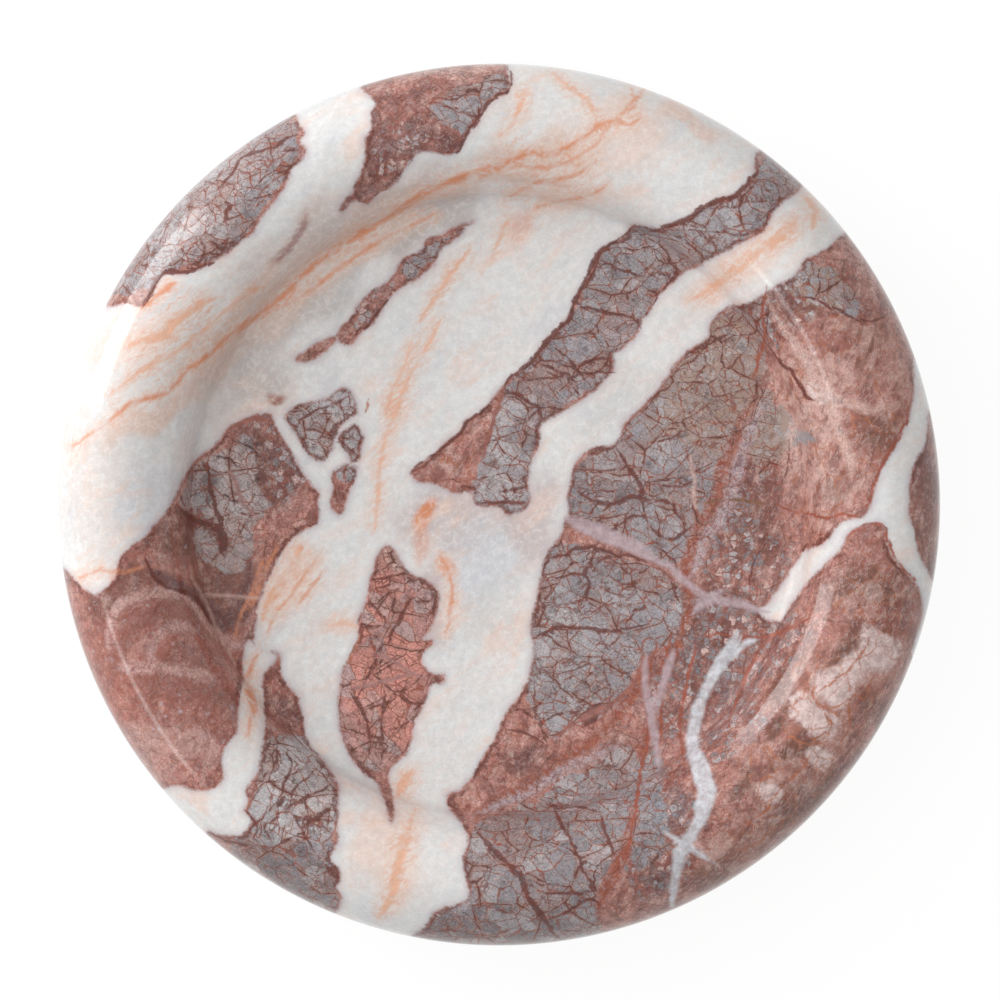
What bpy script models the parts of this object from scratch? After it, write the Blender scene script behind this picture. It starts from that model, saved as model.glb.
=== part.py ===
"""Turned marble bowl: one stone block with a fat rolled rim and a shallow dish, standing on felt pads.

Metres, +Z up. The origin is on the surface that the bowl stands on, under the middle of the bowl.
The section is drawn in the X-Z half plane as arcs that meet at a common tangent, and turned about Z.
"""

import math

import bpy

MM = 0.001

# Rim: a roll whose crest is a circle, with a tight outer side and a wider inner side
BOWL_RADIUS = 150.0 * MM
ROLL_OUTER_REACH = 20.5 * MM
ROLL_OUTER_DROP = 22.0 * MM
ROLL_INNER_RADIUS = 24.5 * MM
ROLL_INNER_TURN = math.radians(80.0)

# Dish: a small fillet under the roll, then a floor that sinks a little towards the middle
FILLET_RADIUS = 6.0 * MM
FLOOR_EDGE_SLOPE = math.radians(9.0)
FLOOR_THICKNESS = 28.0 * MM

# Underside: a full belly that comes in to a flat honed foot
FOOT_RADIUS = 88.0 * MM
FOOT_EDGE_RADIUS = 3.0 * MM
BELLY_FOOT_SLOPE = math.radians(14.0)
BELLY_FULLNESS_SHARE = 0.62

# Felt pads, stuck to the foot by a film that fills the gap above each one
PAD_COUNT = 4
PAD_RADIUS = 10.0 * MM
PAD_THICKNESS = 2.5 * MM
PAD_EDGE_ROUND = 0.5 * MM
PAD_INSET = 6.0 * MM
PAD_FILM_GAP = 0.3 * MM

# How finely each curve is cut into flats
TURN_STEPS = 64
FLOOR_STEPS = 8
FILLET_STEPS = 6
ROLL_INNER_STEPS = 11
ROLL_OUTER_STEPS = 10
BELLY_STEPS = 12
FOOT_EDGE_STEPS = 2
PAD_STEPS = 32
PAD_ROUND_STEPS = 2
MERGE_DISTANCE = 0.01 * MM


def arc(centre_r, centre_z, reach_r, reach_z, start, end, steps):
    """Points of an elliptic arc. Its angle is measured from straight up, positive outwards."""
    angles = [start + (end - start) * i / steps for i in range(steps + 1)]
    return [(centre_r + reach_r * math.sin(a), centre_z + reach_z * math.cos(a)) for a in angles]


def between(start, end, share):
    """The point that lies this share of the way from start to end."""
    return tuple(a + (b - a) * share for a, b in zip(start, end))


def bezier(p0, p1, p2, p3, steps):
    """Points of a cubic curve from p0 to p3, pulled towards p1 and p2."""
    points = []
    for i in range(steps + 1):
        t = i / steps
        weights = ((1 - t) ** 3, 3 * t * (1 - t) ** 2, 3 * t**2 * (1 - t), t**3)
        points.append(tuple(sum(w * p[k] for w, p in zip(weights, (p0, p1, p2, p3))) for k in (0, 1)))
    return points


def joined(*runs):
    """One list of points from several runs, each of which starts where the last one ends."""
    points = list(runs[0])
    for run in runs[1:]:
        points += run[1:]
    return points


def bowl_section():
    """The stone's half section, from the middle of the dish over the rim to the middle of the foot."""
    foot_z = PAD_THICKNESS + PAD_FILM_GAP
    crest_r = BOWL_RADIUS - ROLL_OUTER_REACH
    steepest_r = crest_r - ROLL_INNER_RADIUS * math.sin(ROLL_INNER_TURN)
    fillet_r = steepest_r - FILLET_RADIUS * math.sin(ROLL_INNER_TURN)
    floor_edge_r = fillet_r + FILLET_RADIUS * math.sin(FLOOR_EDGE_SLOPE)
    floor_radius = floor_edge_r / math.sin(FLOOR_EDGE_SLOPE)

    floor_z = foot_z + FLOOR_THICKNESS
    floor_edge_z = floor_z + floor_radius * (1 - math.cos(FLOOR_EDGE_SLOPE))
    fillet_z = floor_edge_z + FILLET_RADIUS * math.cos(FLOOR_EDGE_SLOPE)
    steepest_z = fillet_z - FILLET_RADIUS * math.cos(ROLL_INNER_TURN)
    crest_z = steepest_z + ROLL_INNER_RADIUS * (1 - math.cos(ROLL_INNER_TURN))
    widest_z = crest_z - ROLL_OUTER_DROP

    floor = arc(0, floor_z + floor_radius, floor_radius, -floor_radius, 0, FLOOR_EDGE_SLOPE, FLOOR_STEPS)
    fillet = arc(
        fillet_r, fillet_z, FILLET_RADIUS, -FILLET_RADIUS, FLOOR_EDGE_SLOPE, ROLL_INNER_TURN, FILLET_STEPS
    )
    roll_inner = arc(
        crest_r,
        crest_z - ROLL_INNER_RADIUS,
        ROLL_INNER_RADIUS,
        ROLL_INNER_RADIUS,
        -ROLL_INNER_TURN,
        0,
        ROLL_INNER_STEPS,
    )
    roll_outer = arc(
        crest_r, widest_z, ROLL_OUTER_REACH, ROLL_OUTER_DROP, 0, math.radians(90), ROLL_OUTER_STEPS
    )

    # The foot's edge is an arc that the belly and the flat foot both touch
    edge_r = FOOT_RADIUS - FOOT_EDGE_RADIUS * math.sin(BELLY_FOOT_SLOPE)
    foot_edge = arc(
        edge_r,
        foot_z + FOOT_EDGE_RADIUS,
        FOOT_EDGE_RADIUS,
        -FOOT_EDGE_RADIUS,
        BELLY_FOOT_SLOPE,
        0,
        FOOT_EDGE_STEPS,
    )

    # The belly is pulled from both ends towards the corner where its end tangents cross
    widest = (BOWL_RADIUS, widest_z)
    belly_run = BOWL_RADIUS - foot_edge[0][0]
    corner = (BOWL_RADIUS, foot_edge[0][1] + belly_run * math.tan(BELLY_FOOT_SLOPE))
    belly = bezier(
        widest,
        between(widest, corner, BELLY_FULLNESS_SHARE),
        between(foot_edge[0], corner, BELLY_FULLNESS_SHARE),
        foot_edge[0],
        BELLY_STEPS,
    )
    foot = [foot_edge[-1], (0, foot_z)]
    return joined(floor, fillet, roll_inner, roll_outer, belly, foot_edge, foot)


def pad_section():
    """A pad's half section about its own axis, from the middle of its upper face round to the lower one."""
    flat_r = PAD_RADIUS - PAD_EDGE_ROUND
    upper_z = PAD_THICKNESS - PAD_EDGE_ROUND
    quarter = math.radians(90)
    upper = arc(flat_r, upper_z, PAD_EDGE_ROUND, PAD_EDGE_ROUND, 0, quarter, PAD_ROUND_STEPS)
    lower = arc(flat_r, PAD_EDGE_ROUND, PAD_EDGE_ROUND, -PAD_EDGE_ROUND, quarter, 0, PAD_ROUND_STEPS)
    return [(0, PAD_THICKNESS)] + upper + lower + [(0, 0)]


def section_mesh(name, section, material):
    """A mesh of the section's line only, in the X-Z plane, for a Screw modifier to turn."""
    mesh = bpy.data.meshes.new(name)
    points = [(r, 0, z) for r, z in section]
    mesh.from_pydata(points, [(i, i + 1) for i in range(len(points) - 1)], [])
    mesh.materials.append(material)
    return mesh


def turned(name, mesh, steps):
    """An object that holds the section turned once round its own Z axis."""
    obj = bpy.data.objects.new(name, mesh)
    bpy.context.scene.collection.objects.link(obj)
    screw = obj.modifiers.new("turn", "SCREW")
    screw.angle = math.radians(360)
    screw.steps = steps
    screw.render_steps = steps
    screw.use_merge_vertices = True
    screw.merge_threshold = MERGE_DISTANCE
    screw.use_smooth_shade = True
    return obj


def finish(name, colour, roughness):
    """A Principled material of one colour."""
    material = bpy.data.materials.new(name)
    material.use_nodes = True
    shader = material.node_tree.nodes["Principled BSDF"]
    shader.inputs["Base Color"].default_value = (*colour, 1.0)
    shader.inputs["Roughness"].default_value = roughness
    shader.inputs["Metallic"].default_value = 0.0
    return material


for old in list(bpy.data.objects):
    bpy.data.objects.remove(old)

# The bowl: a single block of stone, turned, ground and polished
stone = finish("polished_stone", (0.46, 0.30, 0.26), 0.12)
turned("bowl_body", section_mesh("bowl_section", bowl_section(), stone), TURN_STEPS)

# The pads: needle felt discs, spaced evenly just inside the foot's edge
felt = finish("pad_felt", (0.07, 0.06, 0.055), 0.95)
pad_mesh = section_mesh("pad_section", pad_section(), felt)
pad_circle = FOOT_RADIUS - PAD_INSET - PAD_RADIUS
for number in range(PAD_COUNT):
    angle = math.radians(360) * (number + 0.5) / PAD_COUNT
    pad = turned(f"felt_pad_{number + 1}", pad_mesh, PAD_STEPS)
    pad.location = (pad_circle * math.cos(angle), pad_circle * math.sin(angle), 0)
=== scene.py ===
"""Looks of the marble bowl: its veined breccia, the polish, the felt pads and a plain studio.

Metres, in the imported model's frame. Places on the stone's pattern are pixels of the photograph,
1000 a side, in which the bowl is seen from straight above.
"""

import math

import bpy
import numpy as np
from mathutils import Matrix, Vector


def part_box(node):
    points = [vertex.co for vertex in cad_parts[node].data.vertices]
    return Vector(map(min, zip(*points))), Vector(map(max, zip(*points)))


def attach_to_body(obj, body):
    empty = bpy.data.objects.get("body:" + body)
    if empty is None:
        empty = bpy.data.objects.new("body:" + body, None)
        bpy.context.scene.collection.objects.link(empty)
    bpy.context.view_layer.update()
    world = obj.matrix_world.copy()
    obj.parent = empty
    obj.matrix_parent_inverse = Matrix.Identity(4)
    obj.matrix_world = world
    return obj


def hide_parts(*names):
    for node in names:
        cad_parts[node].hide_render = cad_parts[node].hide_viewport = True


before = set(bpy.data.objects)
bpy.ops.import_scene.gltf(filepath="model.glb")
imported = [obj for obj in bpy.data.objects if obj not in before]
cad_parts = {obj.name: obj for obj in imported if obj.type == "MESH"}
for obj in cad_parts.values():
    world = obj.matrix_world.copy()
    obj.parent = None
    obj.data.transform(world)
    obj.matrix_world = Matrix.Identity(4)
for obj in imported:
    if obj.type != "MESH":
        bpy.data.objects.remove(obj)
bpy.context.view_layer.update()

# The view: the photograph looks straight down, so the bowl's widest circle is a plain circle in it.
# The camera stands high above on a long lens, with the photograph's upper edge towards +Y.
PHOTO_SIDE_PX = 1000
RIM_MIDDLE_PX = (499.2, 504.6)
RIM_RADIUS_PX = 440.6
CAMERA_HEIGHT = 1.6
SENSOR_WIDTH_MM = 36.0

block = np.array([vertex.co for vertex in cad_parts["bowl_body"].data.vertices])
block_radii = np.hypot(block[:, 0], block[:, 1])
rim_radius = block_radii.max()
rim_height = block[block_radii.argmax(), 2]
focal_px = RIM_RADIUS_PX * (CAMERA_HEIGHT - rim_height) / rim_radius

camera = bpy.data.objects.new("camera", bpy.data.cameras.new("camera"))
bpy.context.scene.collection.objects.link(camera)
camera.data.sensor_width = SENSOR_WIDTH_MM
camera.data.lens = SENSOR_WIDTH_MM * focal_px / PHOTO_SIDE_PX
camera.location = (
    (PHOTO_SIDE_PX / 2 - RIM_MIDDLE_PX[0]) * rim_radius / RIM_RADIUS_PX,
    (RIM_MIDDLE_PX[1] - PHOTO_SIDE_PX / 2) * rim_radius / RIM_RADIUS_PX,
    CAMERA_HEIGHT,
)
bpy.context.scene.camera = camera

# The bowl: one block of breccia marble, turned, ground and polished, with a honed foot.
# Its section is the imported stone's own, drawn smooth through the same points and turned finely.
SECTION_HEART_SHARES = (0.77, 0.48)
SAME_POINT = 0.00002
TOP_RINGS = 140
BELLY_RINGS = 34
FOOT_RINGS = 20
TOP_STEP = 0.00125
UNDER_STEP = 0.0025
FEWEST_STEPS = 12
SECTION_STEPS = 8
CURVE_STEPS = 4


def smooth_curve(points, steps=CURVE_STEPS, closed=False):
    """Points along a smooth curve of cubic pieces that passes through the given ones."""
    p = np.array(points, float)
    if closed:
        p = np.vstack([p[-1], p, p[:2]])
    else:
        p = np.vstack([2 * p[0] - p[1], p, 2 * p[-1] - p[-2]])
    chord = np.hypot(*np.diff(p, axis=0).T)[:, None]
    slope = np.diff(p, axis=0) / chord
    tangent = (slope[:-1] * chord[1:] + slope[1:] * chord[:-1]) / (chord[:-1] + chord[1:])
    t = (np.arange(steps) / steps)[None, :, None]
    leave = (tangent[:-1] * chord[1:-1])[:, None]
    arrive = (tangent[1:] * chord[1:-1])[:, None]
    run = (
        (2 * t**3 - 3 * t**2 + 1) * p[1:-2, None]
        + (t**3 - 2 * t**2 + t) * leave
        + (3 * t**2 - 2 * t**3) * p[2:-1, None]
        + (t**3 - t**2) * arrive
    ).reshape(-1, 2)
    return run if closed else np.vstack([run, p[-2]])


def along(run, count):
    """This many points evenly spaced along a run."""
    length = np.append(0, np.cumsum(np.hypot(*np.diff(run, axis=0).T)))
    places = np.linspace(0, length[-1], count)
    return np.column_stack([np.interp(places, length, run[:, k]) for k in (0, 1)])


def block_section():
    """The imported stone's half section, from the middle of the dish over the rim to the middle of the foot."""
    points = np.column_stack([block_radii, block[:, 2]])
    heart = np.array(SECTION_HEART_SHARES) * (rim_radius, rim_height)
    points = points[np.argsort(-np.arctan2(*(points - heart).T[::-1]))]
    fresh = np.hypot(*np.diff(points, axis=0).T) > SAME_POINT
    return points[np.append(True, fresh)]


def ring_steps(radius, step):
    """How many steps a ring takes: the fewest, doubled until each is short enough."""
    doublings = math.log2(max(2 * math.pi * radius / step / FEWEST_STEPS, 1))
    return FEWEST_STEPS * 2 ** math.ceil(doublings)


def ring_faces(inner, inner_count, outer, outer_count):
    """Faces between two neighbouring rings, which have equal counts, or one twice the other's, or a pole."""
    if outer_count == 1:
        return [(outer, inner + (i + 1) % inner_count, inner + i) for i in range(inner_count)]
    if inner_count == 1:
        return [(inner, outer + i, outer + (i + 1) % outer_count) for i in range(outer_count)]
    faces = []
    if inner_count == outer_count:
        for i in range(inner_count):
            j = (i + 1) % inner_count
            faces.append((inner + i, outer + i, outer + j, inner + j))
    elif inner_count < outer_count:
        for i in range(inner_count):
            j = (i + 1) % inner_count
            a, b, c = (outer + (2 * i + k) % outer_count for k in range(3))
            faces += [(inner + i, a, b), (inner + i, b, inner + j), (inner + j, b, c)]
    else:
        for i in range(outer_count):
            j = (i + 1) % outer_count
            a, b, c = (inner + (2 * i + k) % inner_count for k in range(3))
            faces += [(outer + i, b, a), (outer + i, outer + j, b), (outer + j, c, b)]
    return faces


section = block_section()
foot_edge = int(np.flatnonzero(section[:, 0] > SAME_POINT)[-1])
mirrored = np.vstack([section[1] * (-1, 1), section[: foot_edge + 1]])
polished = smooth_curve(mirrored, SECTION_STEPS)[SECTION_STEPS:]
widest = int(polished[:, 0].argmax())
foot_face = np.array([section[foot_edge], (0, section[foot_edge, 1])])
rings = np.vstack(
    [
        along(polished[: widest + 1], TOP_RINGS + 1),
        along(polished[widest:], BELLY_RINGS + 1)[1:],
        along(foot_face, FOOT_RINGS + 1)[1:],
    ]
)
rings[0, 0] = 0
last_ring = len(rings) - 1
ring_length = np.append(0, np.cumsum(np.hypot(*np.diff(rings, axis=0).T)))

vertices = []
ring_of = []
turn_of = []
faces = []
previous = None
for number, (radius, height) in enumerate(rings):
    step = TOP_STEP if number <= TOP_RINGS else UNDER_STEP
    count = 1 if number in (0, last_ring) else ring_steps(radius, step)
    start = len(vertices)
    for i in range(count):
        angle = 2 * math.pi * i / count
        vertices.append((radius * math.cos(angle), radius * math.sin(angle), height))
        ring_of.append(number)
        turn_of.append(angle)
    if previous:
        faces += ring_faces(*previous, start, count)
    previous = (start, count)

bowl_mesh = bpy.data.meshes.new("bowl")
bowl_mesh.from_pydata(vertices, [], faces)
bowl_mesh.shade_smooth()
stone_points = np.array(vertices)
ring_of = np.array(ring_of)
turn_of = np.array(turn_of)

# Two round maps, one for the top out to the widest circle and a smaller one for the underside
TOP_MAP = (0.42, 0.42, 0.41)
UNDER_MAP = (0.83, 0.83, 0.16)


def round_map(ring_numbers, turns, disc, middle_ring):
    """Map coordinates on a disc, where each ring lies as far out as it is along the stone's surface."""
    middle_u, middle_v, radius = disc
    way = np.abs(ring_length - ring_length[middle_ring])
    out = radius * way[ring_numbers] / way[TOP_RINGS]
    return np.column_stack([middle_u + out * np.cos(turns), middle_v + out * np.sin(turns)])


corner_vertex = np.zeros(len(bowl_mesh.loops), int)
bowl_mesh.loops.foreach_get("vertex_index", corner_vertex)
face_size = np.array([len(face) for face in faces])
face_underside = np.array([max(ring_of[v] for v in face) > TOP_RINGS for face in faces])
corner_underside = np.repeat(face_underside, face_size)[:, None]
corner_maps = np.where(
    corner_underside,
    round_map(ring_of[corner_vertex], turn_of[corner_vertex], UNDER_MAP, last_ring),
    round_map(ring_of[corner_vertex], turn_of[corner_vertex], TOP_MAP, 0),
)
bowl_mesh.uv_layers.new(name="OFBake").data.foreach_set("uv", corner_maps.ravel())

# The pattern is one block of stone, so below the widest circle it goes on from the top's own,
# turned a little further and bent a little more with depth
UNDER_TWIST = 9.0
UNDER_DRAW_IN = 1.2
SWAY = 0.045
SWAY_LENGTHS = (0.031, 0.043)

underside = ring_of > TOP_RINGS
depth = np.where(underside, rim_height - stone_points[:, 2], 0)
turned_x, turned_y = np.cos(UNDER_TWIST * depth), np.sin(UNDER_TWIST * depth)
x, y = (stone_points[:, :2] * (1 - UNDER_DRAW_IN * depth)[:, None]).T
level = np.column_stack([x * turned_x - y * turned_y, x * turned_y + y * turned_x])
sways = [np.sin(2 * math.pi * level[:, 1 - k] / SWAY_LENGTHS[k]) for k in (0, 1)]
level += SWAY * depth[:, None] * np.column_stack(sways)
scale_px = focal_px / (CAMERA_HEIGHT - np.where(underside, rim_height, stone_points[:, 2]))
place = np.column_stack(
    [
        PHOTO_SIDE_PX / 2 + scale_px * (level[:, 0] - camera.location.x),
        PHOTO_SIDE_PX / 2 - scale_px * (level[:, 1] - camera.location.y),
    ]
)
mm_per_px = 1000 * rim_radius / RIM_RADIUS_PX


def stone_colour(red, green, blue):
    """A colour as a picture shows it, 0 to 255, as the light that it returns, by the sRGB curve."""
    share = np.array((red, green, blue)) / 255
    return np.where(share > 0.04045, ((share + 0.055) / 1.055) ** 2.4, share / 12.92)


COLOURS = {
    "bright white": stone_colour(238, 238, 238),
    "white": stone_colour(228, 227, 226),
    "blue white": stone_colour(212, 214, 220),
    "peach": stone_colour(238, 206, 190),
    "dull peach": stone_colour(210, 188, 176),
    "orange": stone_colour(220, 142, 102),
    "pale orange": stone_colour(232, 178, 148),
    "grey": stone_colour(152, 147, 152),
    "blue grey": stone_colour(134, 138, 146),
    "light grey": stone_colour(182, 176, 178),
    "dark grey": stone_colour(116, 110, 114),
    "tan": stone_colour(170, 140, 122),
    "pale pink": stone_colour(214, 178, 168),
    "dusty pink": stone_colour(202, 158, 151),
    "cell pink": stone_colour(212, 142, 130),
    "blossom": stone_colour(226, 202, 198),
    "grey and painted shade": stone_colour(184, 180, 178),
    "pale grey": stone_colour(204, 199, 200),
    "pink": stone_colour(182, 126, 114),
    "red pink": stone_colour(178, 108, 94),
    "brick": stone_colour(152, 94, 82),
    "rust": stone_colour(154, 76, 54),
    "ginger": stone_colour(176, 106, 74),
    "brown": stone_colour(112, 72, 58),
    "plum": stone_colour(104, 62, 60),
    "stained": stone_colour(160, 116, 102),
    "mauve": stone_colour(168, 124, 120),
    "lilac": stone_colour(188, 168, 174),
    "maroon": stone_colour(98, 46, 38),
    "black": stone_colour(62, 40, 40),
    "olive": stone_colour(122, 88, 60),
}

# Outlines of the white calcite that fills the widest cracks; points outside the rim carry them past it
CALCITE = [
    # the great mass from the upper left to the lower edge, with the arm that runs to the upper right
    [
        (48, 566), (40, 430), (70, 250), (180, 100), (330, 30), (520, 20), (690, 40), (775, 140),
        (759, 152), (756, 163), (756, 173), (749, 183), (741, 191), (730, 197), (716, 201), (704, 207),
        (694, 214), (684, 220), (672, 226), (658, 229), (645, 226), (634, 226), (627, 233), (615, 241),
        (602, 249), (596, 258), (590, 270), (584, 284), (577, 297), (572, 308), (569, 319), (561, 326),
        (552, 335), (543, 345), (537, 354), (529, 363), (519, 371), (509, 379), (502, 389), (496, 396),
        (487, 406), (477, 415), (467, 423), (461, 433), (451, 440), (439, 450), (428, 459), (417, 466),
        (411, 473), (414, 479), (430, 481), (444, 486), (455, 492), (472, 492), (475, 504), (488, 506),
        (500, 507), (505, 513), (517, 513), (528, 505), (529, 494), (529, 480), (529, 466), (532, 455),
        (538, 446), (541, 436), (541, 424), (548, 420), (560, 413), (572, 404), (582, 398), (594, 390),
        (604, 381), (612, 372), (614, 360), (612, 355), (620, 349), (630, 341), (638, 330), (643, 319),
        (650, 309), (655, 298), (664, 288), (674, 280), (684, 272), (697, 266), (712, 259), (728, 250),
        (742, 243), (755, 235), (766, 228), (772, 218), (777, 207), (783, 202), (792, 195), (798, 190),
        (815, 180), (860, 225), (840, 236), (834, 243), (826, 249), (815, 256), (803, 262), (800, 270),
        (792, 278), (783, 283), (772, 290), (762, 297), (750, 303), (742, 304), (731, 308), (719, 314),
        (712, 324), (708, 336), (697, 345), (687, 350), (682, 358), (674, 368), (665, 381), (655, 392),
        (650, 399), (643, 408), (633, 416), (625, 425), (621, 437), (611, 445), (598, 446), (588, 451),
        (579, 460), (573, 471), (570, 485), (568, 498), (569, 512), (565, 522), (563, 532), (555, 542),
        (547, 553), (543, 567), (541, 582), (537, 597), (533, 610), (531, 625), (533, 640), (535, 652),
        (533, 664), (530, 677), (524, 687), (517, 698), (511, 708), (504, 717), (499, 729), (494, 740),
        (486, 750), (480, 761), (473, 775), (466, 785), (459, 791), (449, 794), (446, 803), (453, 812),
        (462, 822), (467, 832), (468, 845), (464, 857), (463, 868), (467, 880), (470, 891), (467, 900),
        (456, 905), (442, 909), (433, 914), (428, 923), (420, 931), (410, 938), (395, 960), (330, 925),
        (338, 908), (340, 897), (336, 888), (341, 880), (339, 868), (331, 860), (334, 848), (337, 838),
        (336, 825), (339, 812), (338, 800), (338, 788), (333, 776), (327, 766), (318, 755), (310, 744),
        (305, 732), (303, 720), (300, 708), (298, 697), (290, 688), (284, 680), (280, 668), (278, 655),
        (256, 650), (254, 640), (255, 625), (257, 610), (260, 598), (265, 585), (270, 573), (276, 562),
        (283, 552), (290, 543), (297, 535), (305, 530), (315, 526), (318, 517), (317, 505), (319, 493),
        (312, 487), (306, 478), (300, 468), (294, 457), (288, 447), (281, 437), (275, 426), (272, 417),
        (268, 414), (258, 415), (246, 419), (234, 425), (225, 431), (221, 438), (214, 446), (204, 453),
        (193, 463), (187, 475), (181, 487), (176, 498), (170, 508), (160, 520), (150, 531), (141, 541),
        (131, 548), (121, 556), (117, 565), (114, 577), (105, 589), (95, 597), (86, 592), (80, 585),
        (72, 577), (64, 568),
    ],
    # the band down the lower left wall
    [
        (256, 645), (247, 640), (243, 655), (243, 670), (243, 685), (240, 697), (237, 710), (237, 722),
        (236, 733), (228, 741), (222, 752), (220, 763), (222, 775), (217, 786), (205, 790), (192, 788),
        (178, 784), (168, 786), (150, 800), (170, 830), (205, 850), (207, 832), (215, 834), (226, 837),
        (238, 836), (247, 829), (251, 820), (246, 810), (250, 802), (247, 792), (253, 783), (258, 773),
        (260, 760), (262, 747), (266, 735), (267, 722), (264, 708), (264, 695), (262, 682), (266, 672),
        (274, 665), (279, 657),
    ],
    # the forked vein on the right rim
    [
        (918, 340), (914, 360), (914, 380), (911, 400), (908, 418), (900, 433), (894, 447), (886, 460),
        (880, 470), (877, 482), (872, 495), (868, 508), (864, 515), (852, 518), (842, 521), (834, 527),
        (829, 538), (822, 545), (810, 548), (803, 552), (796, 561), (789, 571), (781, 583), (773, 594),
        (767, 603), (758, 610), (770, 622), (778, 622), (784, 618), (789, 607), (798, 595), (808, 583),
        (818, 573), (829, 562), (839, 552), (846, 544), (848, 536), (857, 529), (868, 526), (879, 524),
        (884, 529), (886, 541), (891, 553), (898, 563), (906, 573), (914, 583), (919, 592), (921, 603),
        (921, 615), (918, 628), (914, 640), (911, 655), (930, 655), (945, 600), (950, 585), (933, 580),
        (928, 570), (922, 558), (918, 547), (915, 532), (911, 515), (911, 500), (910, 485), (912, 470),
        (917, 458), (925, 446), (928, 430), (929, 410), (945, 405), (940, 350),
    ],
]

# Outlines of broken stone that the calcite flowed round
ISLANDS = [
    # upper left rim
    [
        (95, 300), (112, 306), (126, 303), (143, 306), (152, 292), (158, 279), (168, 271), (181, 273),
        (200, 268), (214, 261), (226, 254), (240, 243), (252, 232), (262, 214), (274, 200), (284, 186),
        (292, 170), (302, 158), (305, 149), (297, 141), (303, 133), (298, 122), (292, 108), (240, 110),
        (120, 200),
    ],
    # top rim
    [
        (350, 80), (366, 91), (372, 96), (378, 103), (372, 112), (372, 125), (366, 140), (366, 155),
        (362, 170), (357, 183), (352, 193), (343, 203), (341, 210), (355, 200), (368, 203), (378, 193),
        (390, 188), (400, 178), (405, 167), (410, 160), (418, 152), (428, 150), (440, 153), (452, 153),
        (460, 145), (463, 138), (470, 130), (478, 120), (483, 110), (488, 102), (497, 96), (507, 92),
        (510, 82), (508, 75), (505, 66), (500, 50),
    ],
    # the long leaf inside the upper wall
    [
        (475, 222), (468, 226), (462, 233), (452, 240), (440, 250), (435, 262), (425, 270), (415, 280),
        (400, 287), (390, 297), (380, 310), (370, 325), (358, 335), (350, 345), (337, 337), (342, 328),
        (350, 318), (356, 308), (365, 300), (375, 290), (385, 285), (395, 275), (400, 265), (405, 258),
        (420, 250), (428, 240), (440, 236), (450, 230),
    ],
    [(337, 337), (324, 341), (308, 349), (296, 360), (311, 360), (326, 350)],
    # the small broken piece left of the middle
    [
        (286, 418), (295, 406), (318, 402), (349, 390), (354, 399), (357, 413), (344, 424), (335, 435),
        (331, 452), (321, 462), (308, 454), (295, 434),
    ],
    [
        (338, 434), (346, 429), (356, 424), (361, 430), (364, 441), (361, 450), (358, 460), (350, 461),
        (347, 453), (341, 446),
    ],
    [
        (333, 474), (340, 468), (347, 465), (357, 468), (356, 478), (351, 487), (348, 497), (344, 506),
        (341, 514), (334, 510), (331, 500), (334, 488),
    ],
    # the red piece below the middle, with its tail
    [
        (387, 546), (398, 558), (408, 572), (425, 580), (436, 588), (440, 598), (437, 612), (428, 630),
        (421, 640), (433, 641), (423, 652), (421, 662), (431, 673), (446, 675), (444, 682), (432, 684),
        (426, 700), (418, 715), (412, 730), (407, 753), (395, 762), (388, 772), (390, 790), (394, 806),
        (392, 822), (386, 806), (380, 785), (362, 772), (343, 740), (340, 719), (340, 694), (345, 668),
        (356, 648), (359, 622), (368, 599), (372, 573), (379, 555),
    ],
]

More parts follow.
